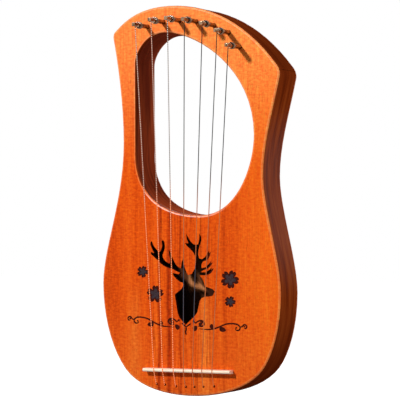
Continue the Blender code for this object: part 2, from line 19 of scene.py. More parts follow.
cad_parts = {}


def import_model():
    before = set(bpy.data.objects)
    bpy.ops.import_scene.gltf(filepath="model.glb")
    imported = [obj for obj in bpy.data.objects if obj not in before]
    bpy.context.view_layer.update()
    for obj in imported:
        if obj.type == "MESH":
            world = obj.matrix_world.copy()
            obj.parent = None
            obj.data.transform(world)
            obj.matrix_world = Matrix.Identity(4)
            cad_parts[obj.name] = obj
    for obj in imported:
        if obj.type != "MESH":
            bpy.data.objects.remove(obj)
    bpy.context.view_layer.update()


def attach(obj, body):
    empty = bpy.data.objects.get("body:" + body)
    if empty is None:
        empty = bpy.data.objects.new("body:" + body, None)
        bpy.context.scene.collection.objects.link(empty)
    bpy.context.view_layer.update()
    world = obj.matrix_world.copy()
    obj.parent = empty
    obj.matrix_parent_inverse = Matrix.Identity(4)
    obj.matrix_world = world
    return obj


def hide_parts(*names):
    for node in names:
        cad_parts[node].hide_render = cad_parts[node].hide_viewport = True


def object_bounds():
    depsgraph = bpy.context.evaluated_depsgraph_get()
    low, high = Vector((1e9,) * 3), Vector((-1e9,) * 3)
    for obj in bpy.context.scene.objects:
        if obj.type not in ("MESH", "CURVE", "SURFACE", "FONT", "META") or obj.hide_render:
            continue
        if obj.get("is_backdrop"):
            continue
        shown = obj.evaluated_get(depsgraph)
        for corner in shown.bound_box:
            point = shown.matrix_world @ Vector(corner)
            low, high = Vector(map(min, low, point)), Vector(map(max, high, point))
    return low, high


LOG = logging.getLogger("lyre_harp")
MM = 0.001
WELD = 0.00001
SHARP_ANGLE = math.radians(32)
FRONT = -0.040
Pair = tuple[float, float]
Colour = tuple[float, float, float, float]


class Slot(Enum):
    """The record's material slots."""

    FACE = "face_mahogany"
    DARK = "dark_mahogany"
    SPRUCE = "spruce"
    SADDLE = "cream_saddle"
    NICKEL = "nickel"
    STEEL = "string_steel"
    BRASS = "brass"


class Wrap(Enum):
    """How a string is made: plain drawn wire, or a core wrapped with a finer wire."""

    PLAIN = "plain"
    WRAPPED = "wrapped"


def linear(colour: str) -> Colour:
    """Turn an sRGB hex value into a linear colour.

    Args:
        colour: Six hex digits after a hash sign.

    Returns:
        Red, green and blue in linear light, and an opacity of 1.
    """
    parts = [int(colour[place:place + 2], 16) / 255 for place in (1, 3, 5)]
    light = [part / 12.92 if part <= 0.04045 else ((part + 0.055) / 1.055) ** 2.4 for part in parts]
    return (*light, 1.0)


def add(tree: bpy.types.NodeTree, kind: str, inputs: dict | None = None, **settings) -> bpy.types.Node:
    """Add a node, set its settings, and fill or link its inputs.

    Args:
        tree: The node tree.
        kind: The node's type name.
        inputs: Values or output sockets, by input name or number.
        **settings: The node's own properties.

    Returns:
        The new node.
    """
    node = tree.nodes.new(kind)
    for name, value in settings.items():
        setattr(node, name, value)
    for key, value in (inputs or {}).items():
        if isinstance(value, bpy.types.NodeSocket):
            tree.links.new(value, node.inputs[key])
        else:
            node.inputs[key].default_value = value
    return node


@dataclass
class Recipe:
    """A Principled material in the making: its tree, its shader and the steps that finishes share."""

    name: str
    material: bpy.types.Material = field(init=False)
    tree: bpy.types.NodeTree = field(init=False)
    shader: bpy.types.Node = field(init=False)

    def __post_init__(self) -> None:
        """Start the material."""
        self.material = bpy.data.materials.new(self.name)
        self.material.use_nodes = True
        self.tree = self.material.node_tree
        self.shader = self.tree.nodes["Principled BSDF"]

    def noise(self, cell: tuple[float, float, float], detail: float = 3.0, roughness: float = 0.5,
              distortion: float = 0.0) -> bpy.types.NodeSocket:
        """Noise on Object coordinates.

        Args:
            cell: The size of one patch along X, Y and Z.
            detail: Octaves of finer noise.
            roughness: The strength of the finer octaves.
            distortion: How far the pattern is warped.

        Returns:
            The noise's value.
        """
        where = add(self.tree, "ShaderNodeTexCoord")
        scaled = add(self.tree, "ShaderNodeMapping", {"Vector": where.outputs["Object"],
                                                      "Scale": tuple(1 / size for size in cell)})
        texture = add(self.tree, "ShaderNodeTexNoise", {
            "Vector": scaled.outputs[0], "Scale": 1.0, "Detail": detail, "Roughness": roughness,
            "Distortion": distortion})
        return texture.outputs[0]

    def place(self, axis: int, low: float, high: float, most: float = 1.0) -> bpy.types.NodeSocket:
        """A share that grows along an axis.

        Args:
            axis: 0, 1 or 2 for X, Y or Z.
            low: Where the share is 0.
            high: Where it reaches its most.
            most: The share there.

        Returns:
            The share.
        """
        where = add(self.tree, "ShaderNodeTexCoord")
        split = add(self.tree, "ShaderNodeSeparateXYZ", {0: where.outputs["Object"]})
        ranged = add(self.tree, "ShaderNodeMapRange", {0: split.outputs[axis], 1: low, 2: high, 3: 0.0, 4: most},
                     interpolation_type="SMOOTHSTEP")
        return ranged.outputs[0]

    def product(self, first: bpy.types.NodeSocket, second: float | bpy.types.NodeSocket) -> bpy.types.NodeSocket:
        """Multiply two values.

        Args:
            first: A socket.
            second: A socket or number.

        Returns:
            The product.
        """
        return add(self.tree, "ShaderNodeMath", {0: first, 1: second}, operation="MULTIPLY").outputs[0]

    def band(self, axis: int, low: float, high: float, fade: float, most: float = 1.0) -> bpy.types.NodeSocket:
        """A share that is full between two places and fades out beyond them.

        Args:
            axis: 0, 1 or 2 for X, Y or Z.
            low: Where the full share starts.
            high: Where it ends.
            fade: How far it takes to fade out.
            most: The full share.

        Returns:
            The share.
        """
        return self.product(self.place(axis, low - fade, low, most), self.place(axis, high + fade, high))

    def wandering(self, axis: int, reach: float, cell: tuple[float, float, float]) -> bpy.types.NodeSocket:
        """A coordinate that wanders slowly to both sides.

        Args:
            axis: 0, 1 or 2 for X, Y or Z.
            reach: How far it wanders.
            cell: The size of one bend along X, Y and Z.

        Returns:
            The coordinate.
        """
        where = add(self.tree, "ShaderNodeTexCoord")
        split = add(self.tree, "ShaderNodeSeparateXYZ", {0: where.outputs["Object"]})
        sway = self.span(self.noise(cell, 1.0), (0.3, 0.7), (-reach, reach))
        return add(self.tree, "ShaderNodeMath", {0: split.outputs[axis], 1: sway}, operation="ADD").outputs[0]

    def slanted(self, across: float, up: float) -> bpy.types.NodeSocket:
        """A coordinate that grows askew over the boards.

        Args:
            across: Its growth along X.
            up: Its growth along Z.

        Returns:
            The coordinate.
        """
        where = add(self.tree, "ShaderNodeTexCoord")
        turned = add(self.tree, "ShaderNodeVectorMath", {0: where.outputs["Object"], 1: (across, 0.0, up)},
                     operation="DOT_PRODUCT")
        return turned.outputs["Value"]

    def line(self, across: bpy.types.NodeSocket, middle: float, half: float, most: float) -> bpy.types.NodeSocket:
        """The share of one soft line.

        Args:
            across: The coordinate across the line.
            middle: The line's middle.
            half: Its half width.
            most: The share in its middle.

        Returns:
            The share.
        """
        away = add(self.tree, "ShaderNodeMath", {0: across, 1: middle}, operation="SUBTRACT")
        size = add(self.tree, "ShaderNodeMath", {0: away.outputs[0]}, operation="ABSOLUTE")
        ranged = add(self.tree, "ShaderNodeMapRange", {0: size.outputs[0], 1: half, 2: 0.0, 3: 0.0, 4: most},
                     interpolation_type="SMOOTHSTEP")
        return ranged.outputs[0]

    def ramp(self, factor: bpy.types.NodeSocket, stops: list[tuple[float, str]]) -> bpy.types.NodeSocket:
        """Colours over a factor.

        Args:
            factor: The socket that drives the ramp.
            stops: Places from 0 to 1 with their sRGB colours, in order.

        Returns:
            The ramp's colour.
        """
        node = add(self.tree, "ShaderNodeValToRGB", {0: factor})
        elements = node.color_ramp.elements
        while len(elements) < len(stops):
            elements.new(1.0)
        for element, (place, colour) in zip(elements, stops):
            element.position = place
            element.color = linear(colour)
        return node.outputs[0]

    def span(self, value: bpy.types.NodeSocket, source: Pair, target: Pair) -> bpy.types.NodeSocket:
        """Move a value from one range to another, held at its ends.

        Args:
            value: The value.
            source: The range that it comes in.
            target: The range that it goes to.

        Returns:
            The moved value.
        """
        node = add(self.tree, "ShaderNodeMapRange",
                   {0: value, 1: source[0], 2: source[1], 3: target[0], 4: target[1]})
        return node.outputs[0]

    def mix(self, factor: float | bpy.types.NodeSocket, first, second, blend: str = "MIX") -> bpy.types.NodeSocket:
        """Mix two colours.

        Args:
            factor: A number or socket.
            first: The colour shown at 0.
            second: The colour blended in at 1.
            blend: Blender's blend type.

        Returns:
            The mixed colour.
        """
        pair = [linear(colour) if isinstance(colour, str) else colour for colour in (first, second)]
        node = add(self.tree, "ShaderNodeMix", {0: factor, 6: pair[0], 7: pair[1]},
                   data_type="RGBA", blend_type=blend)
        return node.outputs[2]

    def relief(self, height: bpy.types.NodeSocket, strength: float, depth: float) -> None:
        """Bump the surface.

        Args:
            height: The pattern.
            strength: The bump's strength.
            depth: The real depth of the pattern.
        """
        bump = add(self.tree, "ShaderNodeBump", {"Height": height, "Strength": strength, "Distance": depth})
        self.tree.links.new(bump.outputs[0], self.shader.inputs["Normal"])

    def set(self, **values) -> None:
        """Set or link the shader's inputs, named with underscores for spaces."""
        for name, value in values.items():
            socket = self.shader.inputs[name.replace("_", " ")]
            if isinstance(value, bpy.types.NodeSocket):
                self.tree.links.new(value, socket)
            else:
                socket.default_value = value


@dataclass(frozen=True)
class FaceMahogany:
    """Sliced mahogany under an orange dye and satin lacquer, its grain along Z.

    The dye turns red in the denser streaks, and the colour grows lighter towards the top, near the pins. Open pores
    show as short dark dashes, and the lacquer leaves a broad, soft sheen.
    """

    name: str = "satin_lacquered_mahogany_orange"
    body: str = "#de540e"
    pale: str = "#e65e13"
    deep: str = "#d44b0a"
    bass: str = "#cb450a"
    treble: str = "#f97219"
    low: str = "#e4631c"
    upper_bass: str = "#fb8a40"
    upper_treble: str = "#fe9444"
    streak: str = "#a52e06"
    vein: str = "#8c2a05"
    pore: str = "#6c2006"
    light: str = "#f08a34"
    # The red streaks of this board: millimetres from its middle, half width and strength
    streaks: tuple[tuple[float, float, float], ...] = (
        (-30.2, 3.4, 1.0), (-18.5, 4.8, 1.0), (-12.0, 2.2, 0.50), (-5.0, 2.6, 0.95), (2.0, 1.8, 0.40),
        (19.7, 1.8, 0.35), (30.2, 2.0, 0.55), (48.0, 5.5, 0.30))
    # The pale stripes beside them
    stripes: tuple[tuple[float, float, float], ...] = ((-61.0, 12.0, 0.25), (25.0, 12.0, 0.45))
    stripe_width: float = 13 * MM
    fibre_width: float = 0.9 * MM
    vein_spacing: float = 7 * MM
    pore_size: Pair = (0.55 * MM, 5.5 * MM)
    figure_size: Pair = (5 * MM, 2.2 * MM)
    roughness: float = 0.42
    specular: float = 0.03
    low_gloss: float = 0.0

    def make(self) -> bpy.types.Material:
        """Build the material."""
        mix = Recipe(self.name)
        mix.set(Base_Color=self.dyed(mix))
        # Painted glint: the gloss is raised only on the rounding under the opening, which faces up into the light
        glint = mix.product(mix.band(0, -0.045, 0.040, 0.015), mix.band(2, 0.075, 0.100, 0.010, self.low_gloss))
        mix.set(Specular_IOR_Level=mix.span(glint, (0.0, 1.0), (self.specular, 1.0 + self.specular)))
        return mix.material

    def dyed(self, mix: Recipe) -> bpy.types.NodeSocket:
        """The dyed wood's colour; its relief and gloss are set on the way.

        Args:
            mix: The material in the making.

        Returns:
            The colour.
        """
        stripe = mix.noise((self.stripe_width, self.stripe_width, self.stripe_width * 40), 2.0)
        colour = mix.ramp(stripe, [(0.34, self.deep), (0.50, self.body), (0.68, self.pale)])
        colour = mix.mix(mix.place(0, -0.06, -0.105, 0.75), colour, self.bass)
        colour = mix.mix(mix.place(0, 0.050, 0.10, 0.60), colour, self.treble)
        colour = mix.mix(mix.place(2, 0.0, -0.095, 0.60), colour, self.low)
        upper = mix.mix(mix.place(0, -0.04, 0.10), self.upper_bass, self.upper_treble)
        colour = mix.mix(mix.place(2, 0.12, 0.28, 0.85), colour, upper)
        fading = mix.place(2, 0.24, 0.08)
        across = mix.wandering(0, 1.6 * MM, (60 * MM, 60 * MM, 90 * MM))
        strength = mix.span(mix.noise((9 * MM, 9 * MM, 130 * MM), 2.0), (0.32, 0.62), (0.62, 1.0))
        for lines, tint, reach in ((self.stripes, self.light, mix.place(2, 0.020, -0.030)),
                                   (self.streaks, self.streak, mix.product(fading, strength))):
            for middle, half, most in lines:
                share = mix.product(mix.line(across, middle * MM, half * MM, most), reach)
                colour = mix.mix(share, colour, tint)
        # Thin dark veins keep to the middle of the board
        vein = mix.noise((self.vein_spacing, self.vein_spacing, self.vein_spacing * 45), 1.0, distortion=0.1)
        thin = mix.ramp(vein, [(0.470, "#000000"), (0.490, "#ffffff"), (0.510, "#000000")])
        veined = mix.product(thin, mix.span(mix.band(0, -0.038, 0.030, 0.022), (0.0, 1.0), (0.08, 0.55)))
        colour = mix.mix(mix.product(veined, fading), colour, self.vein)
        fibre = mix.noise((self.fibre_width, self.fibre_width, self.fibre_width * 30), 4.0, 0.6)
        colour = mix.mix(0.70, colour, mix.ramp(fibre, [(0.32, "#9c9c9c"), (0.52, "#bcbcbc"), (0.70, "#d8d8d8")]),
                         "OVERLAY")
        figure = mix.noise((self.figure_size[0], self.figure_size[0], self.figure_size[1]), 3.0, 0.65)
        colour = mix.mix(0.95, colour, mix.ramp(figure, [(0.33, "#9a9a9a"), (0.67, "#d6d6d6")]), "OVERLAY")
        pore = mix.noise((self.pore_size[0], self.pore_size[0], self.pore_size[1]), 2.0)
        mix.relief(fibre, 0.12, 0.1 * MM)
        mix.set(Roughness=mix.span(figure, (0.3, 0.7), (self.roughness + 0.06, self.roughness - 0.06)))
        return mix.mix(mix.span(pore, (0.58, 0.74), (0.0, 0.40)), colour, self.pore)


@dataclass(frozen=True)
class RimMahogany:
    """Mahogany bent round the box and dyed a deep red-brown: the fibres follow the bend, across Y."""

    name: str = "satin_lacquered_mahogany_dark"
    body: str = "#a64216"
    pale: str = "#bb5520"
    deep: str = "#84300f"
    shade: str = "#5c1e08"
    fibre_width: float = 1.1 * MM
    stripe_width: float = 7 * MM
    roughness: float = 0.42
    waist_painted_sheen: float = 0.045

    def make(self) -> bpy.types.Material:
        """Build the material."""
        mix = Recipe(self.name)
        stripe = mix.noise((self.stripe_width * 14, self.stripe_width, self.stripe_width * 14), 2.0)
        colour = mix.ramp(stripe, [(0.34, self.deep), (0.50, self.body), (0.68, self.pale)])
        fibre = mix.noise((self.fibre_width * 25, self.fibre_width, self.fibre_width * 25), 4.0, 0.6)
        colour = mix.mix(0.45, colour, mix.ramp(fibre, [(0.32, "#4c4c4c"), (0.52, "#808080"), (0.70, "#b0b0b0")]),
                         "OVERLAY")
        # Painted shade: darker towards the bottom, where the sides turn down to the floor
        colour = mix.mix(mix.place(2, 0.0, -0.085, 0.7), colour, self.shade)
        # Darker towards the top: painted shade where the lining's top faces down; the arch's outer face is darkened
        # with it
        colour = mix.mix(mix.place(2, 0.18, 0.26, 0.5), colour, self.deep)
        mix.relief(fibre, 0.12, 0.1 * MM)
        mix.set(Base_Color=colour, Roughness=mix.span(fibre, (0.3, 0.7), (self.roughness + 0.05,
                                                                           self.roughness - 0.05)))
        # Painted sheen: the gloss is raised only round the waist, so that a sheen shows there
        mix.set(Specular_IOR_Level=mix.band(2, 0.06, 0.13, 0.07, self.waist_painted_sheen))
        return mix.material


@dataclass(frozen=True)
class RawWood:
    """Bare planed wood inside the box: matt, with saw marks across the grain and no dye."""

    name: str
    body: str
    dark: str
    fibre_width: float = 0.9 * MM
    along: int = 2
    painted_shade: str = "#38180c"
    painted_shade_strength: float = 0.0
    roughness: float = 0.75

    def make(self) -> bpy.types.Material:
        """Build the material."""
        mix = Recipe(self.name)
        cell = [self.fibre_width] * 3
        cell[self.along] = self.fibre_width * 30
        fibre = mix.noise(tuple(cell), 4.0, 0.6)
        mix.relief(fibre, 0.2, 0.1 * MM)
        bare = mix.ramp(fibre, [(0.32, self.dark), (0.66, self.body)])
        # Painted shade darkens the board all round a slanting strip, which stays bare where the key lamp's light falls
        # through the stag's hole
        shade_round_strip = mix.span(mix.slanted(0.62, 0.78), (4.0 * MM, 6.0 * MM), (0.0, self.painted_shade_strength * 0.85))
        colour = mix.mix(shade_round_strip, bare, self.painted_shade)
        # Painted shade also darkens the board beyond a box round that strip
        for axis, low, high in ((0, 0.003, 0.008), (0, -0.013, -0.018), (2, 0.003, -0.003)):
            colour = mix.mix(mix.place(axis, low, high, self.painted_shade_strength), colour, self.painted_shade)
        mix.set(Base_Color=colour, Roughness=self.roughness, Specular_IOR_Level=0.05)
        return mix.material


@dataclass(frozen=True)
class BurntWood:
    """Wood cut or engraved by a laser: soot in the cut, matt and slightly crusted."""

    name: str
    soot: str
    scorch: str
    crust: float = 0.8 * MM
    roughness: float = 0.8

    def make(self) -> bpy.types.Material:
        """Build the material."""
        mix = Recipe(self.name)
        crust = mix.noise((self.crust, self.crust, self.crust), 3.0)
        mix.relief(crust, 0.3, 0.1 * MM)
        mix.set(Base_Color=mix.ramp(crust, [(0.38, self.soot), (0.66, self.scorch)]), Roughness=self.roughness)
        mix.set(Specular_IOR_Level=0.05)
        return mix.material


@dataclass(frozen=True)
class MouldedCream:
    """Cream plastic moulded to look like bone: faint long streaks under a soft polish."""

    name: str = "moulded_cream_plastic"
    body: str = "#fce8d0"
    streak: str = "#f4d8ba"
    streak_width: float = 0.9 * MM
    roughness: float = 0.38

    def make(self) -> bpy.types.Material:
        """Build the material."""
        mix = Recipe(self.name)
        streak = mix.noise((self.streak_width * 12, self.streak_width, self.streak_width), 3.0)
        mix.relief(streak, 0.05, 0.05 * MM)
        mix.set(Base_Color=mix.ramp(streak, [(0.35, self.streak), (0.62, self.body)]), Roughness=self.roughness)
        mix.set(Subsurface_Weight=0.08, Subsurface_Scale=0.002)
        return mix.material


@dataclass(frozen=True)
class PlatedMetal:
    """Plated or turned metal: cloudy gloss from handling, darker in patches that are partly painted reflection, over
    fine marks from the tool.
    """

    name: str
    body: str
    dull_and_painted_reflection: str
    roughness: float
    mark: tuple[float, float, float] = (0.6 * MM, 0.15 * MM, 0.6 * MM)
    cloud: float = 2.5 * MM

    def make(self) -> bpy.types.Material:
        """Build the material."""
        mix = Recipe(self.name)
        cloud = mix.noise((self.cloud, self.cloud, self.cloud), 3.0)
        mark = mix.noise(self.mark, 2.0)
        mix.relief(mark, 0.06, 0.02 * MM)
        mix.set(Base_Color=mix.ramp(cloud, [(0.38, self.dull_and_painted_reflection), (0.60, self.body)]), Metallic=1.0)
        mix.set(Roughness=mix.span(cloud, (0.35, 0.65), (self.roughness * 1.6, self.roughness)))
        return mix.material


@dataclass(frozen=True)
class StringWire:
    """Steel wire along the string's own run, kept in the attribute wire_run.

    A wrapped string is ringed by a finer wire. The real pitch of 0.25 mm is under a quarter of a
    pixel, so the rings are drawn 2.4 mm apart, where they just show. The colour carries a painted
    reflection: warm where dyed wood lies behind the wire, dark grey over the stag's hole.
    """

    name: str
    bright: str
    dark: str
    painted_wood_reflection: str
    painted_wood_reflection_dark: str
    wrap: Wrap
    painted_hole_reflection: str = "#46464e"
    pitch: float = 2.4 * MM
    roughness: float = 0.32

    def make(self) -> bpy.types.Material:
        """Build the material."""
        mix = Recipe(self.name)
        run = add(mix.tree, "ShaderNodeAttribute", attribute_name="wire_run").outputs["Fac"]
        period = self.pitch if self.wrap is Wrap.WRAPPED else 40 * self.pitch
        turn = add(mix.tree, "ShaderNodeMath", {0: run, 1: 2 * math.pi / period}, operation="MULTIPLY")
        ring = add(mix.tree, "ShaderNodeMath", {0: turn.outputs[0]}, operation="SINE").outputs[0]
        # Bright and dark alternate along the run: on a wrapped string, a painted highlight on each turn and painted
        # shade between turns; on a plain one, a slow change of tone
        light = mix.span(ring, (-1.0, 1.0), (0.0, 1.0))
        # Painted reflection: the wire's colour turns warm where the dyed wood of the board and lining lies behind it,
        # and dark grey over the stag's hole
        wood = add(mix.tree, "ShaderNodeMath", {0: mix.place(2, 0.130, 0.076), 1: mix.place(0, -0.021, -0.026, 0.25)},
                   operation="MAXIMUM")
        colour = mix.mix(wood.outputs[0], mix.ramp(light, [(0.2, self.dark), (0.7, self.bright)]),
                         mix.ramp(light, [(0.2, self.painted_wood_reflection_dark), (0.7, self.painted_wood_reflection)]))
        over = mix.product(mix.band(0, -0.003, 0.0225, 0.002), mix.band(2, -0.030, 0.026, 0.006))
        mix.set(Base_Color=mix.mix(over, colour, self.painted_hole_reflection), Metallic=1.0, Roughness=self.roughness)
        if self.wrap is Wrap.WRAPPED:
            mix.relief(ring, 0.3, 0.1 * MM)
        return mix.material


@dataclass
class Finishes:
    """Every finish of the harp, made once."""

    face: bpy.types.Material = field(default_factory=lambda: FaceMahogany().make())
    back: bpy.types.Material = field(default_factory=lambda: FaceMahogany(
        name="satin_lacquered_mahogany_back", body="#b84a12", pale="#c65a1c", deep="#98380c", bass="#a03c0c",
        treble="#c4541a", low="#bc5016", upper_bass="#c65e22", upper_treble="#ca6428", streaks=()).make())
    # The rounded edges get paler colours than the face: a painted highlight along them
    edge: bpy.types.Material = field(default_factory=lambda: FaceMahogany(
        name="satin_lacquered_mahogany_edge_painted_highlight", body="#e8702c", pale="#ee7a36", deep="#e0661f", bass="#d85f20",
        treble="#f98a40", low="#ea742e", upper_bass="#fe9a5a", upper_treble="#ffa45c", specular=0.16,
        low_gloss=0.8).make())
    rim: bpy.types.Material = field(default_factory=lambda: RimMahogany().make())
    lining: bpy.types.Material = field(default_factory=lambda: RimMahogany(
        name="satin_lacquered_mahogany_lining", body="#c85a32", pale="#d66c42", deep="#9e4028",
        waist_painted_sheen=0.0).make())
    # The bare wood inside the box, and the spruce braces, are coloured darker than bare wood: painted shade of the dim
    # box
    inside: bpy.types.Material = field(default_factory=lambda: RawWood(
        "raw_mahogany_planed", "#6e4a2e", "#523420").make())
    # The back board's inside: paler wood, with painted shade all round the strip lit through the stag's hole
    floor: bpy.types.Material = field(default_factory=lambda: RawWood(
        "raw_mahogany_back_planed", "#d08a58", "#a86438", painted_shade_strength=0.9).make())
    spruce: bpy.types.Material = field(default_factory=lambda: RawWood(
        "raw_spruce_planed", "#8a6a46", "#6e5034", along=0).make())
    burnt: bpy.types.Material = field(default_factory=lambda: BurntWood(
        "laser_burnt_mahogany", "#280e0a", "#4c150a").make())
    ash: bpy.types.Material = field(default_factory=lambda: BurntWood(
        "laser_ash_mahogany", "#42353a", "#2a1f22").make())
    saddle: bpy.types.Material = field(default_factory=lambda: MouldedCream().make())
    # The nickel is warmed to brown and darkened in patches: partly the plating's colour, partly painted reflection of
    # the orange board
    nickel: bpy.types.Material = field(default_factory=lambda: PlatedMetal(
        "nickel_plated_steel", "#a28468", "#5c4432", 0.15).make())
    brass: bpy.types.Material = field(default_factory=lambda: PlatedMetal(
        "turned_brass", "#caa25a", "#a88444", 0.28).make())
    plain: bpy.types.Material = field(default_factory=lambda: StringWire(
        "plated_steel_wire", "#262628", "#1e1e20", "#b2683f", "#a65e38", Wrap.PLAIN).make())
    wrapped: bpy.types.Material = field(default_factory=lambda: StringWire(
        "wrapped_steel_wire", "#bcb2aa", "#3a3532", "#ffa878", "#c8602e", Wrap.WRAPPED,
        painted_hole_reflection="#8c847e").make())
    wound: bpy.types.Material = field(default_factory=lambda: StringWire(
        "wound_steel_wire", "#7c6450", "#44342a", "#7c6450", "#44342a", Wrap.PLAIN).make())


def solid_object(name: str, mesh: bpy.types.Mesh) -> bpy.types.Object:
    """Put a mesh in the scene at the origin.

    Args:
        name: The object's name.
        mesh: Its mesh.

    Returns:
        The object.
    """
    item = bpy.data.objects.new(name, mesh)
    bpy.context.scene.collection.objects.link(item)
    return item


def mesh_from(name: str, shape: bmesh.types.BMesh) -> bpy.types.Object:
    """Turn a bmesh into an object with its faces outwards, and free it.

    Args:
        name: The object's name.
        shape: The bmesh.

    Returns:
        The object.
    """
    bmesh.ops.remove_doubles(shape, verts=shape.verts, dist=WELD)
    bmesh.ops.recalc_face_normals(shape, faces=shape.faces)
    mesh = bpy.data.meshes.new(name)
    shape.to_mesh(mesh)
    shape.free()
    return solid_object(name, mesh)


def welded_copy(node: str, name: str) -> bpy.types.Object:
    """A copy of a CAD node with its loose triangles joined.

    Args:
        node: The CAD node.
        name: The copy's name.

    Returns:
        The copy, riding on nothing yet.
    """
    source = bpy.data.objects[node].data
    mesh = bpy.data.meshes.new(name)
    mesh.from_pydata([corner.co.copy() for corner in source.vertices], [],
                     [tuple(face.vertices) for face in source.polygons])
    shape = bmesh.new()
    shape.from_mesh(mesh)
    bpy.data.meshes.remove(mesh)
    bmesh.ops.remove_doubles(shape, verts=shape.verts, dist=WELD)
    welded = bpy.data.meshes.new(name)
    shape.to_mesh(welded)
    shape.free()
    return solid_object(name, welded)


def bake(piece: bpy.types.Object) -> None:
    """Replace a piece's mesh by the result of its modifiers, and remove them.

    Args:
        piece: The piece.
    """
    graph = bpy.context.evaluated_depsgraph_get()
    mesh = bpy.data.meshes.new_from_object(piece.evaluated_get(graph), preserve_all_data_layers=True,
                                           depsgraph=graph)
    piece.modifiers.clear()
    piece.data = mesh


def cut(piece: bpy.types.Object, cutter: bpy.types.Object) -> None:
    """Cut a piece, give the cut the cutter's material, and remove the cutter.

    Args:
        piece: The piece.
        cutter: The cutter, whose parts may overlap.
    """
    modifier = piece.modifiers.new("cut", "BOOLEAN")
    modifier.operation = "DIFFERENCE"
    modifier.solver = "EXACT"
    modifier.use_self = True
    modifier.material_mode = "TRANSFER"
    modifier.object = cutter
    bake(piece)
    bpy.data.objects.remove(cutter)


def soften(piece: bpy.types.Object) -> None:
    """Shade a piece smooth round its bends, flat on its flats and sharp at its corners.

    Args:
        piece: The piece.
    """
    piece.data.shade_smooth()
    piece.data.set_sharp_from_angle(angle=SHARP_ANGLE)
    weighted = piece.modifiers.new("weighted", "WEIGHTED_NORMAL")
    weighted.keep_sharp = True
    bake(piece)


def dress(piece: bpy.types.Object, materials: list[bpy.types.Material],
          choose: Callable[[Vector, Vector], int] | None = None) -> None:
    """Give each face one of a piece's materials.

    Args:
        piece: The piece.
        materials: The materials, the main one first.
        choose: Takes a face's centre and normal and gives the material's number.
    """
    piece.data.materials.clear()
    for material in materials:
        piece.data.materials.append(material)
    for face in piece.data.polygons:
        face.material_index = choose(face.center, face.normal) if choose else 0


def fit(piece: bpy.types.Object, body: str, slot: Slot, *nodes: str) -> None:
    """Hand a finished piece to the frame.

    Args:
        piece: The piece.
        body: The body it rides on.
        slot: Not used.
        *nodes: The CAD nodes it stands for.
    """
    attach(piece, body)
    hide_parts(*nodes)
    LOG.info("%s: %d faces, rides on %s", piece.name, len(piece.data.polygons), body)


@dataclass
class NodeRecipe:
    """A Geometry Nodes tree in the making, with named inputs, that ends in plain dressed geometry."""

    name: str
    sizes: dict[str, str]
    tree: bpy.types.NodeTree = field(init=False)
    given: bpy.types.NodeOutputs = field(init=False)

    def __post_init__(self) -> None:
        """Start the tree with its inputs."""
        self.tree = bpy.data.node_groups.new(self.name, "GeometryNodeTree")
        face = self.tree.interface
        face.new_socket("Geometry", in_out="INPUT", socket_type="NodeSocketGeometry")
        for label, kind in {**self.sizes, "Material": "NodeSocketMaterial"}.items():
            face.new_socket(label, in_out="INPUT", socket_type=kind)
        face.new_socket("Geometry", in_out="OUTPUT", socket_type="NodeSocketGeometry")
        self.given = self.tree.nodes.new("NodeGroupInput").outputs

    def close(self, geometry: bpy.types.NodeSocket) -> None:
        """End the tree: real geometry in one material.

        Args:
            geometry: What the tree made.
        """
        real = add(self.tree, "GeometryNodeRealizeInstances", {0: geometry})
        dressed = add(self.tree, "GeometryNodeSetMaterial",
                      {"Geometry": real.outputs[0], "Material": self.given["Material"]})
        add(self.tree, "NodeGroupOutput", {0: dressed.outputs[0]})

    def grow(self, name: str, seed: bpy.types.Mesh, values: dict) -> bpy.types.Object:
        """Run the tree on a mesh and keep the result as a plain object.

        Args:
            name: The new object's name.
            seed: The mesh the tree starts from.
            values: The inputs' values by name.

        Returns:
            The object.
        """
        carrier = solid_object(name + "_seed", seed)
        modifier = carrier.modifiers.new(self.name, "NODES")
        modifier.node_group = self.tree
        for item in self.tree.interface.items_tree:
            if item.item_type == "SOCKET" and item.in_out == "INPUT" and item.name in values:
                modifier[item.identifier] = values[item.name]
        graph = bpy.context.evaluated_depsgraph_get()
        mesh = bpy.data.meshes.new_from_object(carrier.evaluated_get(graph), preserve_all_data_layers=True,
                                               depsgraph=graph)
        bpy.data.objects.remove(carrier)
        return solid_object(name, mesh)


def spots(name: str, places: list[Vector], joined: bool = False) -> bpy.types.Mesh:
    """A mesh of bare points, or of one open chain.

    Args:
        name: The mesh's name.
        places: The points.
        joined: Whether an edge joins each point to the next.

    Returns:
        The mesh.
    """
    mesh = bpy.data.meshes.new(name)
    edges = [(place, place + 1) for place in range(len(places) - 1)] if joined else []
    mesh.from_pydata([tuple(place) for place in places], edges, [])
    return mesh


def set_out_tree() -> NodeRecipe:
    """A tree that sets a copy of a master piece on every point of the seed."""
    recipe = NodeRecipe("set_out", {"Master": "NodeSocketObject"})
    master = add(recipe.tree, "GeometryNodeObjectInfo", {"Object": recipe.given["Master"]})
    copies = add(recipe.tree, "GeometryNodeInstanceOnPoints",
                 {"Points": recipe.given["Geometry"], "Instance": master.outputs["Geometry"]})
    recipe.close(copies.outputs[0])
    return recipe


def wire_tree() -> NodeRecipe:
    """A tree that draws a wire along the seed's chain and notes the run along it."""
    recipe = NodeRecipe("drawn_wire", {"Diameter": "NodeSocketFloat", "Sides": "NodeSocketInt"})
    tree, given = recipe.tree, recipe.given
    path = add(tree, "GeometryNodeMeshToCurve", {0: given["Geometry"]})
    run = add(tree, "GeometryNodeSplineParameter")
    noted = add(tree, "GeometryNodeStoreNamedAttribute",
                {"Geometry": path.outputs[0], "Name": "wire_run", "Value": run.outputs["Length"]})
    radius = add(tree, "ShaderNodeMath", {0: given["Diameter"], 1: 0.5}, operation="MULTIPLY")
    ring = add(tree, "GeometryNodeCurvePrimitiveCircle",
               {"Resolution": given["Sides"], "Radius": radius.outputs[0]})
    wire = add(tree, "GeometryNodeCurveToMesh",
               {"Curve": noted.outputs[0], "Profile Curve": ring.outputs[0], "Fill Caps": True})
    recipe.close(wire.outputs[0])
    return recipe


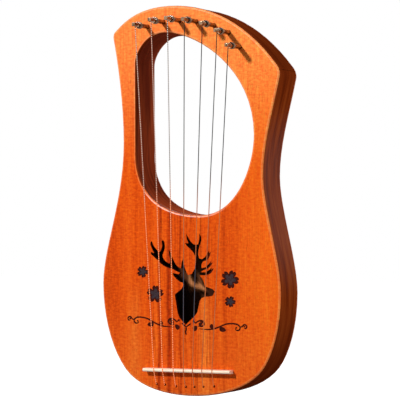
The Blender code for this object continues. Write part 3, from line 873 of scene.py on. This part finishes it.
def petal_tree() -> NodeRecipe:
    """A tree that sets petals round a centre, in the plane of the soundboard."""
    recipe = NodeRecipe("petal_ring", {
        "Petal": "NodeSocketObject", "Petals": "NodeSocketInt", "Reach": "NodeSocketFloat", "Squat": "NodeSocketFloat",
        "First Angle": "NodeSocketFloat", "Centre": "NodeSocketVector"})
    tree, given = recipe.tree, recipe.given
    petal = add(tree, "GeometryNodeObjectInfo", {"Object": given["Petal"]})
    heart = add(tree, "GeometryNodeMeshLine", {"Count": given["Petals"], "Offset": (0.0, 0.0, 0.0)})
    number = add(tree, "GeometryNodeInputIndex")
    step = add(tree, "ShaderNodeMath", {0: -2 * math.pi, 1: given["Petals"]}, operation="DIVIDE")
    turned = add(tree, "ShaderNodeMath", {0: number.outputs[0], 1: step.outputs[0], 2: given["First Angle"]},
                 operation="MULTIPLY_ADD")
    down = add(tree, "ShaderNodeMath", {0: turned.outputs[0], 1: -1.0}, operation="MULTIPLY")
    angle = add(tree, "ShaderNodeCombineXYZ", {1: down.outputs[0]})
    size = add(tree, "ShaderNodeCombineXYZ", {0: given["Reach"], 1: 1.0, 2: given["Reach"]})
    ring = add(tree, "GeometryNodeInstanceOnPoints", {
        "Points": heart.outputs[0], "Instance": petal.outputs["Geometry"], "Rotation": angle.outputs[0],
        "Scale": size.outputs[0]})
    height = add(tree, "ShaderNodeCombineXYZ", {0: 1.0, 1: 1.0, 2: given["Squat"]})
    moved = add(tree, "GeometryNodeTransform", {
        "Geometry": ring.outputs[0], "Translation": given["Centre"], "Scale": height.outputs[0]})
    recipe.close(moved.outputs[0])
    return recipe


def prism(name: str, outlines: list[list[Pair]], depth: float) -> bpy.types.Object:
    """Closed blocks that stand in front of the soundboard and reach into it.

    Args:
        name: The object's name.
        outlines: Each block's outline as x and z.
        depth: How deep the blocks go below the face.

    Returns:
        The blocks as one object.
    """
    shape = bmesh.new()
    for outline in outlines:
        front = [shape.verts.new((x, FRONT - 1 * MM, z)) for x, z in outline]
        back = [shape.verts.new((x, FRONT + depth, z)) for x, z in outline]
        shape.faces.new(front)
        shape.faces.new(back[::-1])
        for place in range(len(outline)):
            after = (place + 1) % len(outline)
            shape.faces.new((front[place], back[place], back[after], front[after]))
    return mesh_from(name, shape)


def flowing(points: list[Pair], steps: int) -> list[Vector]:
    """A smooth line through a few points.

    Args:
        points: The points to pass through.
        steps: The pieces between one point and the next.

    Returns:
        The points along the line.
    """
    marks = [Vector(point) for point in points]
    marks = [2 * marks[0] - marks[1], *marks, 2 * marks[-1] - marks[-2]]
    line = []
    for one, two, three, four in zip(marks, marks[1:], marks[2:], marks[3:]):
        for step in range(steps):
            share = step / steps
            line.append(0.5 * (2 * two + (three - one) * share
                               + (2 * one - 5 * two + 4 * three - four) * share ** 2
                               + (3 * two - one - 3 * three + four) * share ** 3))
    line.append(marks[-2])
    return line


def stroke(shape: bmesh.types.BMesh, points: list[Pair], width: float, depth: float, tip: float = 0.35) -> None:
    """Add one stroke of the engraver to a cutter: a flat band, thinner at its ends.

    Args:
        shape: The cutter's bmesh.
        points: A few points along the stroke as x and z, in metres.
        width: The band's width in its middle.
        depth: How deep it goes below the face.
        tip: The share of the width at the ends.
    """
    line = flowing(points, 4)
    rings = []
    for place, point in enumerate(line):
        ahead = line[min(place + 1, len(line) - 1)] - line[max(place - 1, 0)]
        across = Vector((-ahead.y, ahead.x)).normalized()
        share = place / (len(line) - 1)
        half = width / 2 * (tip + (1 - tip) * min(1.0, 6 * share, 6 * (1 - share)))
        left, right = point + across * half, point - across * half
        rings.append([shape.verts.new((side.x, level, side.y)) for side, level in (
            (left, FRONT - 1 * MM), (right, FRONT - 1 * MM), (right, FRONT + depth), (left, FRONT + depth))])
    for one, other in zip(rings, rings[1:]):
        for side in range(4):
            shape.faces.new((one[side], one[(side + 1) % 4], other[(side + 1) % 4], other[side]))
    shape.faces.new(rings[0])
    shape.faces.new(rings[-1][::-1])


@dataclass
class Ornament:
    """Five-petalled blossoms and a leafy vine, burnt a third of a millimetre into the soundboard."""

    finishes: Finishes
    depth: float = 0.35 * MM
    heart_depth: float = 0.50 * MM
    petals: int = 5
    # Half of a petal's outline and of the paler star's ray, as shares of the blossom's reach
    petal_edge: tuple[Pair, ...] = (
        (0.0, 0.10), (0.45, 0.327), (0.60, 0.375), (0.76, 0.385), (0.91, 0.31), (1.0, 0.17), (0.98, 0.10),
        (0.84, 0.0))
    ray_edge: tuple[Pair, ...] = ((0.0, 0.12), (0.30, 0.20), (0.48, 0.20), (0.60, 0.13), (0.66, 0.0))
    # The blossoms are drawn a little lower than wide
    squat: float = 0.88
    # Each blossom's centre and reach in millimetres, and the angle of its first petal in degrees
    blossoms: tuple[tuple[Pair, float, float], ...] = (
        ((-51.0, 20.5), 7.2, 68.0), ((-35.4, -3.0), 10.4, 86.0), ((54.9, 14.0), 10.8, 64.0),
        ((55.3, -9.0), 6.6, 67.0))
    vine_axis: float = 2.7
    vine_rise: float = 0.8
    vine_tilt: float = math.radians(-1.9)
    stroke_width: float = 1.65
    bold_width: float = 2.5
    # Strokes of one half, in millimetres from the vine's axis
    strokes: tuple[tuple[Pair, ...], ...] = (
        ((5.7, -33.5), (2.6, -35.6), (0.0, -37.4)),
        ((15.3, -38.3), (22.0, -38.5), (28.1, -38.2), (35.3, -36.6), (42.5, -33.7), (47.5, -31.6),
         (52.5, -30.7), (57.6, -30.5), (61.6, -31.3), (64.1, -33.4), (63.9, -35.9), (61.6, -37.2),
         (58.9, -36.3), (59.6, -34.4)),
        ((64.1, -33.6), (66.6, -32.9), (69.2, -30.6), (72.0, -32.0), (71.2, -34.4), (68.9, -34.4)),
        ((9.4, -30.7), (11.4, -32.6), (13.7, -30.9), (17.3, -29.8), (20.9, -31.5), (20.9, -34.1),
         (18.4, -35.8), (14.3, -35.6)),
        ((30.6, -36.4), (31.0, -37.2), (31.2, -38.0)),
        ((41.6, -35.9), (40.6, -35.0), (40.2, -34.3)),
    )
    bold_strokes: tuple[tuple[Pair, ...], ...] = (((15.6, -30.0), (19.4, -30.3), (21.6, -32.4), (20.8, -35.0)),)
    # The tines' burnt tips, past the sawn outline of the stag's hole, in millimetres on the face
    tines: tuple[tuple[Pair, ...], ...] = (
        ((22.5, 32.5), (28.7, 35.6), (31.9, 42.0)), ((20.0, 23.1), (28.7, 25.8), (34.2, 31.2)),
        ((22.4, 17.9), (30.9, 20.2), (35.4, 25.2)))
    tine_width: float = 1.8
    # Leaves and buds of one half: centre, half length, half width, and angle in degrees
    leaves: tuple[tuple[Pair, float, float, float], ...] = (
        ((10.9, -38.0), 3.2, 2.6, 40.0), ((30.6, -34.8), 2.5, 2.2, 80.0), ((43.7, -37.3), 4.0, 2.6, -10.0),
        ((17.4, -33.3), 2.5, 1.9, 35.0), ((9.2, -30.9), 1.2, 1.2, 0.0), ((69.4, -32.8), 1.0, 1.0, 0.0),
        ((59.9, -34.6), 1.0, 1.0, 0.0),
    )
    stem: tuple[Pair, ...] = ((0.0, -36.6), (0.0, -40.4), (-0.9, -42.7), (0.4, -45.6))
    leaf_points: int = 14

    def engrave(self, board: bpy.types.Object) -> None:
        """Burn the ornament into the soundboard.

        Args:
            board: The soundboard's copy, with its own materials.
        """
        cut(board, self.vine())
        tree = petal_tree()
        for name, edge, depth, material in (("petals", self.petal_edge, self.depth, self.finishes.burnt),
                                            ("rays", self.ray_edge, self.heart_depth, self.finishes.ash)):
            outline = [*edge, *((along, -across) for along, across in reversed(edge) if across)]
            petal = prism(name + "_master", [outline], depth)
            for number, (centre, reach, first) in enumerate(self.blossoms):
                values = {"Petal": petal, "Petals": self.petals, "Reach": reach * MM, "Squat": self.squat,
                          "First Angle": math.radians(first), "Centre": (centre[0] * MM, 0.0, centre[1] * MM),
                          "Material": material}
                cut(board, tree.grow(f"{name}_{number}", spots(name, [Vector((0, 0, 0))]), values))
            bpy.data.objects.remove(petal)

    def at(self, x: float, z: float, side: int) -> Pair:
        """A point of the vine in metres.

        Args:
            x: Millimetres from the vine's axis.
            z: Millimetres up the face.
            side: 1 for the half drawn here and -1 for its mirror image.

        Returns:
            X and z on the face, with the vine's slight tilt.
        """
        return ((self.vine_axis + side * x) * MM, (z + self.vine_rise + side * x * math.tan(self.vine_tilt)) * MM)

    def leaf(self, centre: Pair, length: float, half: float, angle: float, side: int) -> list[Pair]:
        """A leaf's outline, fuller towards its stalk.

        Args:
            centre: Its centre in millimetres from the vine's axis.
            length: Half its length.
            half: Half its width.
            angle: Its angle in degrees.
            side: 1, or -1 for the mirror image.

        Returns:
            The outline in metres.
        """
        turn = math.radians(angle)
        outline = []
        for step in range(self.leaf_points):
            round_at = 2 * math.pi * step / self.leaf_points
            along = length * math.cos(round_at)
            across = half * math.sin(round_at) * (1 - 0.25 * math.cos(round_at))
            outline.append(self.at(centre[0] + along * math.cos(turn) - across * math.sin(turn),
                                   centre[1] + along * math.sin(turn) + across * math.cos(turn), side))
        return outline

    def vine(self) -> bpy.types.Object:
        """The vine's cutter."""
        shape = bmesh.new()
        width = self.stroke_width * MM
        stroke(shape, [self.at(x, z, 1) for x, z in self.stem], width * 1.15, self.depth)
        for side in (1, -1):
            for points in self.strokes:
                stroke(shape, [self.at(x, z, side) for x, z in points], width, self.depth)
            for points in self.bold_strokes:
                stroke(shape, [self.at(x, z, side) for x, z in points], self.bold_width * MM, self.depth, 0.2)
        for points in self.tines:
            stroke(shape, [(x * MM, z * MM) for x, z in points], self.tine_width * MM, self.depth)
        cutter = mesh_from("vine", shape)
        blades = [self.leaf(*leaf, side) for leaf in self.leaves for side in (1, -1)]
        leaves = prism("leaves", blades, self.depth * 1.1)
        joined = bmesh.new()
        joined.from_mesh(cutter.data)
        joined.from_mesh(leaves.data)
        joined.to_mesh(cutter.data)
        joined.free()
        bpy.data.objects.remove(leaves)
        dress(cutter, [self.finishes.burnt])
        return cutter


@dataclass
class SoundBox:
    """The boards, rims, lining, braces and saddle."""

    finishes: Finishes
    body: str = "harp"
    hole_low: Vector = field(default_factory=lambda: Vector((-0.045, 0.0, -0.036)))
    hole_high: Vector = field(default_factory=lambda: Vector((0.040, 0.0, 0.064)))
    middle: Vector = field(default_factory=lambda: Vector((0.004, 0.0, 0.020)))
    flat: float = 0.999
    # The dye turns dark past the middle of the board's rounding
    rounding_shown: float = 0.70
    # On the opening's bass side, where the rounding faces away from the key lamp, it turns dark at once: painted shade
    shaded_above: float = 0.11
    # The CAD keeps 0.3 mm for glue on both sides of the rims; here the glue line is closed
    glued: tuple[Pair, ...] = ((-0.0362, -0.03647), (-0.0038, -0.00353))
    glue_reach: float = 0.02 * MM

    def build(self) -> None:
        """Dress every wooden piece and the saddle."""
        self.build_soundboard()
        self.build_back()
        self.build_rims()
        self.build_plain("bridge_saddle", "polished", self.finishes.saddle, Slot.SADDLE)
        self.build_plain("opening_lining", "bent", self.finishes.lining, Slot.DARK)
        self.build_plain("soundboard_brace", "planed", self.finishes.spruce, Slot.SPRUCE)
        self.build_plain("back_brace", "planed", self.finishes.spruce, Slot.SPRUCE)

    def build_plain(self, node: str, worked: str, material: bpy.types.Material, slot: Slot) -> None:
        """A piece in one finish.

        Args:
            node: The CAD node.
            worked: How it was worked, for its name.
            material: Its finish.
            slot: The record's slot.
        """
        piece = welded_copy(node, f"{node}_{worked}")
        self.press(piece)
        dress(piece, [material])
        soften(piece)
        fit(piece, self.body, slot, node)

    def press(self, piece: bpy.types.Object) -> None:
        """Press a piece between the boards, so that no light shows through the glue line.

        Args:
            piece: The piece's copy.
        """
        for corner in piece.data.vertices:
            for free, pressed in self.glued:
                if abs(corner.co.y - free) < self.glue_reach:
                    corner.co.y = pressed

    def build_soundboard(self) -> None:
        """The soundboard: dyed outside, raw inside, scorched where the stag's head was cut."""
        board = welded_copy("soundboard", "soundboard_engraved")

        def choose(centre: Vector, normal: Vector) -> int:
            """Pick the finish of one face."""
            if normal.y > self.flat:
                return 1
            if -normal.y > self.flat:
                return 0
            within = (self.hole_low.x < centre.x < self.hole_high.x
                      and self.hole_low.z < centre.z < self.hole_high.z)
            if within:
                return 2
            shaded = normal.x > 0.3 and centre.x < 0.0 and centre.z > self.shaded_above
            return 3 if -normal.y > self.rounding_shown and not shaded else 4

        dress(board, [self.finishes.face, self.finishes.inside, self.finishes.burnt, self.finishes.edge,
                      self.finishes.rim], choose)
        Ornament(self.finishes).engrave(board)
        soften(board)
        fit(board, self.body, Slot.FACE, "soundboard")

    def build_back(self) -> None:
        """The back board: dyed outside and raw inside."""
        board = welded_copy("back_board", "back_board_finished")
        dress(board, [self.finishes.back, self.finishes.floor], lambda centre, normal: int(normal.y < -self.flat))
        soften(board)
        fit(board, self.body, Slot.FACE, "back_board")

    def build_rims(self) -> None:
        """The arch, sides and tail block: dark outside, raw towards the box."""

        def choose(centre: Vector, normal: Vector) -> int:
            """Raw wood on a face that looks into the box or is glued to a board."""
            return int(normal.dot(centre - self.middle) < 0 or abs(normal.y) > self.flat)

        for node in ("top_arch", "bass_side", "treble_side", "tail_block"):
            rim = welded_copy(node, node + "_bent")
            self.press(rim)
            dress(rim, [self.finishes.rim, self.finishes.inside], choose)
            soften(rim)
            fit(rim, self.body, Slot.DARK, node)


@dataclass
class TuningPins:
    """Round pins with a square end for the key and a hole for the string."""

    finishes: Finishes
    places: tuple[Pair, ...] = ((-0.0451, 0.2807), (-0.0255, 0.2846), (-0.0056, 0.2851), (0.0148, 0.2828),
                                (0.0361, 0.2776), (0.0534, 0.2692), (0.0664, 0.2535))
    radius: float = 2.5 * MM
    standing: float = 29 * MM
    seated: float = 26 * MM
    head: float = 6.5 * MM
    flats: float = 4 * MM
    hole_radius: float = 1.1 * MM
    hole_from_tip: float = 14.8 * MM
    sides: int = 64
    hole_sides: int = 24

    def build(self) -> None:
        """Turn one pin and set a copy of it on each body."""
        master = self.turn_master()
        tree = set_out_tree()
        for number, (x, z) in enumerate(self.places, start=1):
            pin = tree.grow(f"tuning_pin_{number}_turned", spots("pin_place", [Vector((x, 0.0, z))]),
                            {"Master": master, "Material": self.finishes.nickel})
            soften(pin)
            fit(pin, f"pin_{number}", Slot.NICKEL, f"tuning_pin_{number}")
        bpy.data.objects.remove(master)

    def section(self, depth: float, share: float, square: bool) -> list[Vector]:
        """One ring of the pin.

        Args:
            depth: Its distance from the tip.
            share: The ring's size as a share of full size.
            square: Whether the flats for the key are filed on it.

        Returns:
            The ring's points.
        """
        ring = []
        for step in range(self.sides):
            angle = 2 * math.pi * step / self.sides
            reach = self.radius
            if square:
                reach = min(reach, self.flats / 2 / max(abs(math.cos(angle)), abs(math.sin(angle))))
            ring.append(Vector((reach * share * math.cos(angle), FRONT - self.standing + depth,
                                reach * share * math.sin(angle))))
        return ring

    def turn_master(self) -> bpy.types.Object:
        """The pin, on the axis through the origin."""
        total = self.standing + self.seated
        rings = [(0.0, 0.62, True), (0.12 * MM, 0.76, True), (0.45 * MM, 0.92, True), (0.95 * MM, 1.0, True),
                 (self.head - 0.1 * MM, 1.0, True), (self.head, 0.985, False), (self.head + 0.15 * MM, 1.0, False),
                 (total - 1.2 * MM, 1.0, False), (total, 0.7, False)]
        shape = bmesh.new()
        loops = [[shape.verts.new(point) for point in self.section(*ring)] for ring in rings]
        for one, other in zip(loops, loops[1:]):
            for place in range(self.sides):
                after = (place + 1) % self.sides
                shape.faces.new((one[place], one[after], other[after], other[place]))
        shape.faces.new(loops[0][::-1])
        shape.faces.new(loops[-1])
        pin = mesh_from("pin_master", shape)
        drill = bmesh.new()
        across = Matrix.Translation((0.0, FRONT - self.standing + self.hole_from_tip, 0.0)) @ Matrix.Rotation(
            math.pi / 2, 4, "Y")
        bmesh.ops.create_cone(drill, cap_ends=True, segments=self.hole_sides, radius1=self.hole_radius,
                              radius2=self.hole_radius, depth=4 * self.radius, matrix=across)
        cut(pin, mesh_from("pin_drill", drill))
        return pin


@dataclass
class Stringing:
    """Seven strings over the saddle, their turns on the pins and the balls that hold them."""

    finishes: Finishes
    pins: TuningPins
    body: str = "harp"
    bass_diameter: float = 0.90 * MM
    treble_diameter: float = 0.60 * MM
    # The wire with its lacquer and winding is shown as thick as it looks in the photograph
    shown_diameter: float = 0.92 * MM
    wrapped_strings: int = 3
    anchors: tuple[Pair, ...] = ((-0.0333, -0.0977), (-0.0231, -0.0980), (-0.0095, -0.0993), (0.0023, -0.0992),
                                 (0.0129, -0.0987), (0.0236, -0.0982), (0.0363, -0.0972))
    crossings: tuple[float, ...] = (-0.0318, -0.0211, -0.0080, 0.0042, 0.0152, 0.0264, 0.0384)
    saddle_ends: tuple[Pair, Pair] = ((-0.0460, -0.0828), (0.0590, -0.0812))
    saddle_thickness: float = 3.6 * MM
    saddle_height: float = 8.0 * MM
    notch_depth: float = 0.4 * MM
    gap: float = 0.3 * MM
    wind_gap: float = 0.45 * MM
    whole_turns: int = 2
    turn_steps: int = 48
    crown_steps: int = 10
    wire_tail: float = 2.0 * MM
    bend_above_face: float = 1.2 * MM
    ball_radius: float = 2.0 * MM
    ball_length: float = 4.0 * MM
    ball_waist: float = 1.3 * MM
    pocket_depth: float = 5.5 * MM
    wire_sides: int = 12
    ball_sides: int = 32

    def build(self) -> None:
        """Make the wires, their turns and the balls."""
        tree = wire_tree()
        for number in range(1, len(self.anchors) + 1):
            finish = self.finishes.wrapped if number <= self.wrapped_strings else self.finishes.plain
            for name, path, body, material in (
                    ("string", self.wire_path(number - 1), self.body, finish),
                    ("string_winding", self.winding_path(number - 1), f"pin_{number}", self.finishes.wound)):
                values = {"Diameter": self.shown_diameter, "Sides": self.wire_sides, "Material": material}
                wire = tree.grow(f"{name}_{number}_drawn", spots(name, path, joined=True), values)
                # The studio's broad light leaves no shadow of anything as thin as a string
                wire.visible_shadow = False
                self.close_up(wire)
                fit(wire, body, Slot.STEEL, f"{name}_{number}")
        self.build_balls()

    def close_up(self, wire: bpy.types.Object) -> None:
        """Weld a wire's seam, turn its faces outwards and shade it smooth.

        Args:
            wire: The wire.
        """
        shape = bmesh.new()
        shape.from_mesh(wire.data)
        bmesh.ops.remove_doubles(shape, verts=shape.verts, dist=WELD / 10)
        bmesh.ops.recalc_face_normals(shape, faces=shape.faces)
        shape.to_mesh(wire.data)
        shape.free()
        wire.data.shade_smooth()
        wire.data.set_sharp_from_angle(angle=math.radians(60))

    def diameter(self, index: int) -> float:
        """Strings thin out evenly from bass to treble."""
        share = index / (len(self.anchors) - 1)
        return self.bass_diameter + (self.treble_diameter - self.bass_diameter) * share

    def saddle_level(self, x: float) -> float:
        """The height of the saddle's slanted centre line at a place across the board."""
        (left, low), (right, high) = self.saddle_ends
        return low + (high - low) * (x - left) / (right - left)

    def touch(self, centre: Vector, radius: float, outside: Vector, side: int) -> Vector:
        """The point where a line from outside touches a circle.

        Args:
            centre: The circle's centre.
            radius: The circle's radius.
            outside: The point the line comes from.
            side: 1 or -1 for the two touching lines.

        Returns:
            The touching point.
        """
        reach = outside - centre
        turn = Matrix.Rotation(math.acos(radius / reach.length) * side, 2)
        return centre + turn @ reach.normalized() * radius

    def wind_radius(self, index: int) -> float:
        """The distance of the wound wire's centre from the pin's axis."""
        return self.pins.radius + self.gap + self.diameter(index) / 2

    def pitch(self, index: int) -> float:
        """How far one turn lies from the next along the pin."""
        return self.diameter(index) + self.wind_gap

    def leaving_depth(self, index: int) -> float:
        """Where a string leaves its pin, in front of the turns that ride on it."""
        hole = FRONT - self.pins.standing + self.pins.hole_from_tip
        return hole - self.pitch(index) * (self.whole_turns + 2)

    def wire_path(self, index: int) -> list[Vector]:
        """The wire from its ball, over the saddle, to half a turn round its pin.

        Args:
            index: The string's number from the bass, from 0.

        Returns:
            Points along the wire's centre line.
        """
        radius = self.diameter(index) / 2
        anchor_x, anchor_z = self.anchors[index]
        crossing = self.crossings[index]
        pin_x, pin_z = self.pins.places[index]
        rise = self.bend_above_face
        crown_radius = self.saddle_thickness / 2 - self.notch_depth + self.gap + radius
        crown = Vector((FRONT - self.gap - self.saddle_height + self.saddle_thickness / 2,
                        self.saddle_level(crossing)))
        bend = Vector((FRONT - rise, anchor_z + rise / 2))
        leaving = Vector((self.leaving_depth(index), pin_z))
        path = [Vector((anchor_x, self.ball_depth() - self.ball_waist - self.gap, anchor_z)),
                Vector((anchor_x, FRONT / 2, anchor_z)), Vector((anchor_x, FRONT, anchor_z)),
                Vector((anchor_x, FRONT - rise * 0.6, anchor_z + rise * 0.1)), Vector((anchor_x, bend.x, bend.y))]
        low = self.touch(crown, crown_radius, bend, -1) - crown
        high = self.touch(crown, crown_radius, leaving, 1) - crown
        first = math.atan2(low.y, low.x)
        sweep = math.atan2(low.x * high.y - low.y * high.x, low.dot(high))
        for step in range(self.crown_steps + 1):
            angle = first + sweep * step / self.crown_steps
            path.append(Vector((crossing, crown.x + crown_radius * math.cos(angle),
                                crown.y + crown_radius * math.sin(angle))))
        wound = self.wind_radius(index)
        meeting = self.touch(Vector((pin_x, pin_z)), wound, Vector((crossing, crown.y)), -1)
        start = math.atan2(meeting.y - pin_z, meeting.x - pin_x)
        for step in range(self.turn_steps // 2 + 1):
            angle = start - 2 * math.pi * step / self.turn_steps
            path.append(Vector((pin_x + wound * math.cos(angle), leaving.x, pin_z + wound * math.sin(angle))))
        return path

    def winding_path(self, index: int) -> list[Vector]:
        """The turns that ride on the pin, the drop to its hole, and the wire's end through it.

        Args:
            index: The string's number from the bass, from 0.

        Returns:
            Points along the wire's centre line.
        """
        pin_x, pin_z = self.pins.places[index]
        wound = self.wind_radius(index)
        pitch = self.pitch(index)
        whole = self.whole_turns * self.turn_steps
        start = self.leaving_depth(index) + pitch
        path = []
        for step in range(whole + self.turn_steps // 2 - 2):
            angle = -2 * math.pi * step / self.turn_steps
            depth = start + pitch * (step + max(0, step - whole)) / self.turn_steps
            path.append(Vector((pin_x + wound * math.cos(angle), depth, pin_z + wound * math.sin(angle))))
        hole = start + pitch * (self.whole_turns + 1)
        corner = self.diameter(index) / 2
        path.extend([Vector((pin_x - wound, hole, pin_z - corner)), Vector((pin_x - wound + corner, hole, pin_z)),
                     Vector((pin_x, hole, pin_z)),
                     Vector((pin_x + self.pins.radius + self.wire_tail, hole, pin_z))])
        return path

    def ball_depth(self) -> float:
        """The depth of the balls' centres in their pockets."""
        return -self.pocket_depth + self.gap + self.ball_radius

    def build_balls(self) -> None:
        """Turn one brass ball with a waist and set a copy in each pocket."""
        half = self.ball_length / 2
        profile = [(0.30, 1.0), (0.78, 1.0), (0.93, 0.94), (1.0, 0.78), (1.0, 0.50), (0.90, 0.34),
                   (self.ball_waist / self.ball_radius, 0.12)]
        profile += [(reach, -along) for reach, along in reversed(profile)]
        shape = bmesh.new()
        rings = []
        for reach, along in profile:
            rings.append([shape.verts.new((along * half, reach * self.ball_radius * math.cos(angle),
                                           reach * self.ball_radius * math.sin(angle)))
                          for angle in (2 * math.pi * step / self.ball_sides for step in range(self.ball_sides))])
        for one, other in zip(rings, rings[1:] + rings[:1]):
            for place in range(self.ball_sides):
                after = (place + 1) % self.ball_sides
                shape.faces.new((one[place], one[after], other[after], other[place]))
        master = mesh_from("ball_master", shape)
        places = [Vector((x, self.ball_depth(), z)) for x, z in self.anchors]
        balls = set_out_tree().grow("ball_ends_turned", spots("ball_places", places),
                                    {"Master": master, "Material": self.finishes.brass})
        bpy.data.objects.remove(master)
        soften(balls)
        fit(balls, self.body, Slot.BRASS, *(f"ball_end_{number}" for number in range(1, len(places) + 1)))


@dataclass
class Studio:
    """A pale floor, a white surround, a firm key lamp with soft fill, and the photograph's camera."""

    target: Vector = field(default_factory=lambda: Vector((0.0194, -0.0400, 0.0962)))
    azimuth: float = 30.0
    elevation: float = -0.8
    distance: float = 1.8
    lens: float = 155.3
    sensor: float = 36.0
    floor_drop: float = 0.10
    floor_half: float = 6.0
    ambient: float = 0.13
    aim: Vector = field(default_factory=lambda: Vector((0.0, -0.04, 0.10)))

    def build(self) -> None:
        """Set up the camera, the lamps, the world and the floor."""
        self.add_camera()
        self.add_world()
        self.add_floor()
        self.add_lamp("key_lamp", azimuth=-21.0, elevation=29.5, distance=2.0, size=0.16, power=41.0)
        self.add_lamp("right_lamp", azimuth=95.0, elevation=12.0, distance=1.8, size=1.0, power=10.0)
        self.add_lamp("back_lamp", azimuth=205.0, elevation=25.0, distance=2.0, size=1.0, power=7.0)

    def away(self, azimuth: float, elevation: float) -> Vector:
        """The direction from the harp to a place round it.

        Args:
            azimuth: Degrees round from the front towards +X.
            elevation: Degrees above the horizon.

        Returns:
            A unit vector.
        """
        turn, tilt = math.radians(azimuth), math.radians(elevation)
        return Vector((math.sin(turn) * math.cos(tilt), -math.cos(turn) * math.cos(tilt), math.sin(tilt)))

    def add_camera(self) -> None:
        """The camera stands right of the front, almost level with the opening."""
        data = bpy.data.cameras.new("camera")
        data.lens = self.lens
        data.sensor_width = self.sensor
        camera = bpy.data.objects.new("camera", data)
        bpy.context.scene.collection.objects.link(camera)
        away = self.away(self.azimuth, self.elevation)
        camera.location = self.target + away * self.distance
        camera.rotation_euler = (-away).to_track_quat("-Z", "Y").to_euler()
        bpy.context.scene.camera = camera

    def add_lamp(self, name: str, azimuth: float, elevation: float, distance: float, size: float,
                 power: float) -> None:
        """A square lamp aimed at the harp.

        Args:
            name: The lamp's name.
            azimuth: Degrees round from the front towards +X.
            elevation: Degrees above the horizon.
            distance: Its distance from the harp.
            size: Its side.
            power: Its power in watts.
        """
        data = bpy.data.lights.new(name, "AREA")
        data.size = size
        data.energy = power
        lamp = bpy.data.objects.new(name, data)
        bpy.context.scene.collection.objects.link(lamp)
        away = self.away(azimuth, elevation)
        lamp.location = self.aim + away * distance
        lamp.rotation_euler = (-away).to_track_quat("-Z", "Y").to_euler()

    def seen(self, tree: bpy.types.NodeTree) -> bpy.types.NodeSocket:
        """1 for camera, glossy and transmission rays, and 0 for the rays that light the harp."""
        ray = add(tree, "ShaderNodeLightPath")
        first = add(tree, "ShaderNodeMath", {0: ray.outputs["Is Camera Ray"], 1: ray.outputs["Is Glossy Ray"]},
                    operation="MAXIMUM")
        return add(tree, "ShaderNodeMath", {0: first.outputs[0], 1: ray.outputs["Is Transmission Ray"]},
                   operation="MAXIMUM").outputs[0]

    def add_world(self) -> None:
        """White to the camera and in reflections, and soft grey light on the harp."""
        world = bpy.data.worlds.new("studio")
        bpy.context.scene.world = world
        world.use_nodes = True
        tree = world.node_tree
        tree.nodes.clear()
        white = (1.0, 1.0, 1.0, 1.0)
        light = add(tree, "ShaderNodeBackground", {"Color": white, "Strength": self.ambient})
        shown = add(tree, "ShaderNodeBackground", {"Color": white, "Strength": 1.0})
        both = add(tree, "ShaderNodeMixShader", {0: self.seen(tree), 1: light.outputs[0], 2: shown.outputs[0]})
        add(tree, "ShaderNodeOutputWorld", {0: both.outputs[0]})

    def add_floor(self) -> None:
        """A floor that keeps the harp's shadow and is otherwise as white as the surround."""
        shape = bmesh.new()
        bmesh.ops.create_grid(shape, x_segments=1, y_segments=1, size=self.floor_half)
        floor = mesh_from("floor", shape)
        floor.location.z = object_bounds()[0].z - self.floor_drop
        mix = Recipe("studio_floor")
        mix.set(Base_Color=linear("#9a9a9a"), Roughness=0.9)
        none = add(mix.tree, "ShaderNodeEmission", {"Strength": 0.0})
        glow = add(mix.tree, "ShaderNodeEmission", {"Strength": 0.9})
        lit = add(mix.tree, "ShaderNodeMixShader", {0: self.seen(mix.tree), 1: none.outputs[0], 2: glow.outputs[0]})
        total = add(mix.tree, "ShaderNodeAddShader", {0: mix.shader.outputs[0], 1: lit.outputs[0]})
        mix.tree.links.new(total.outputs[0], mix.tree.nodes["Material Output"].inputs[0])
        floor.data.materials.append(mix.material)
        floor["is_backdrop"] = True


def main() -> None:
    """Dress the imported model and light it."""
    logging.basicConfig(level=logging.INFO, format="%(name)s %(message)s")
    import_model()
    bpy.context.scene.view_settings.view_transform = "Standard"
    finishes = Finishes()
    SoundBox(finishes).build()
    pins = TuningPins(finishes)
    pins.build()
    Stringing(finishes, pins).build()
    Studio().build()


if __name__ == "__main__":
    main()
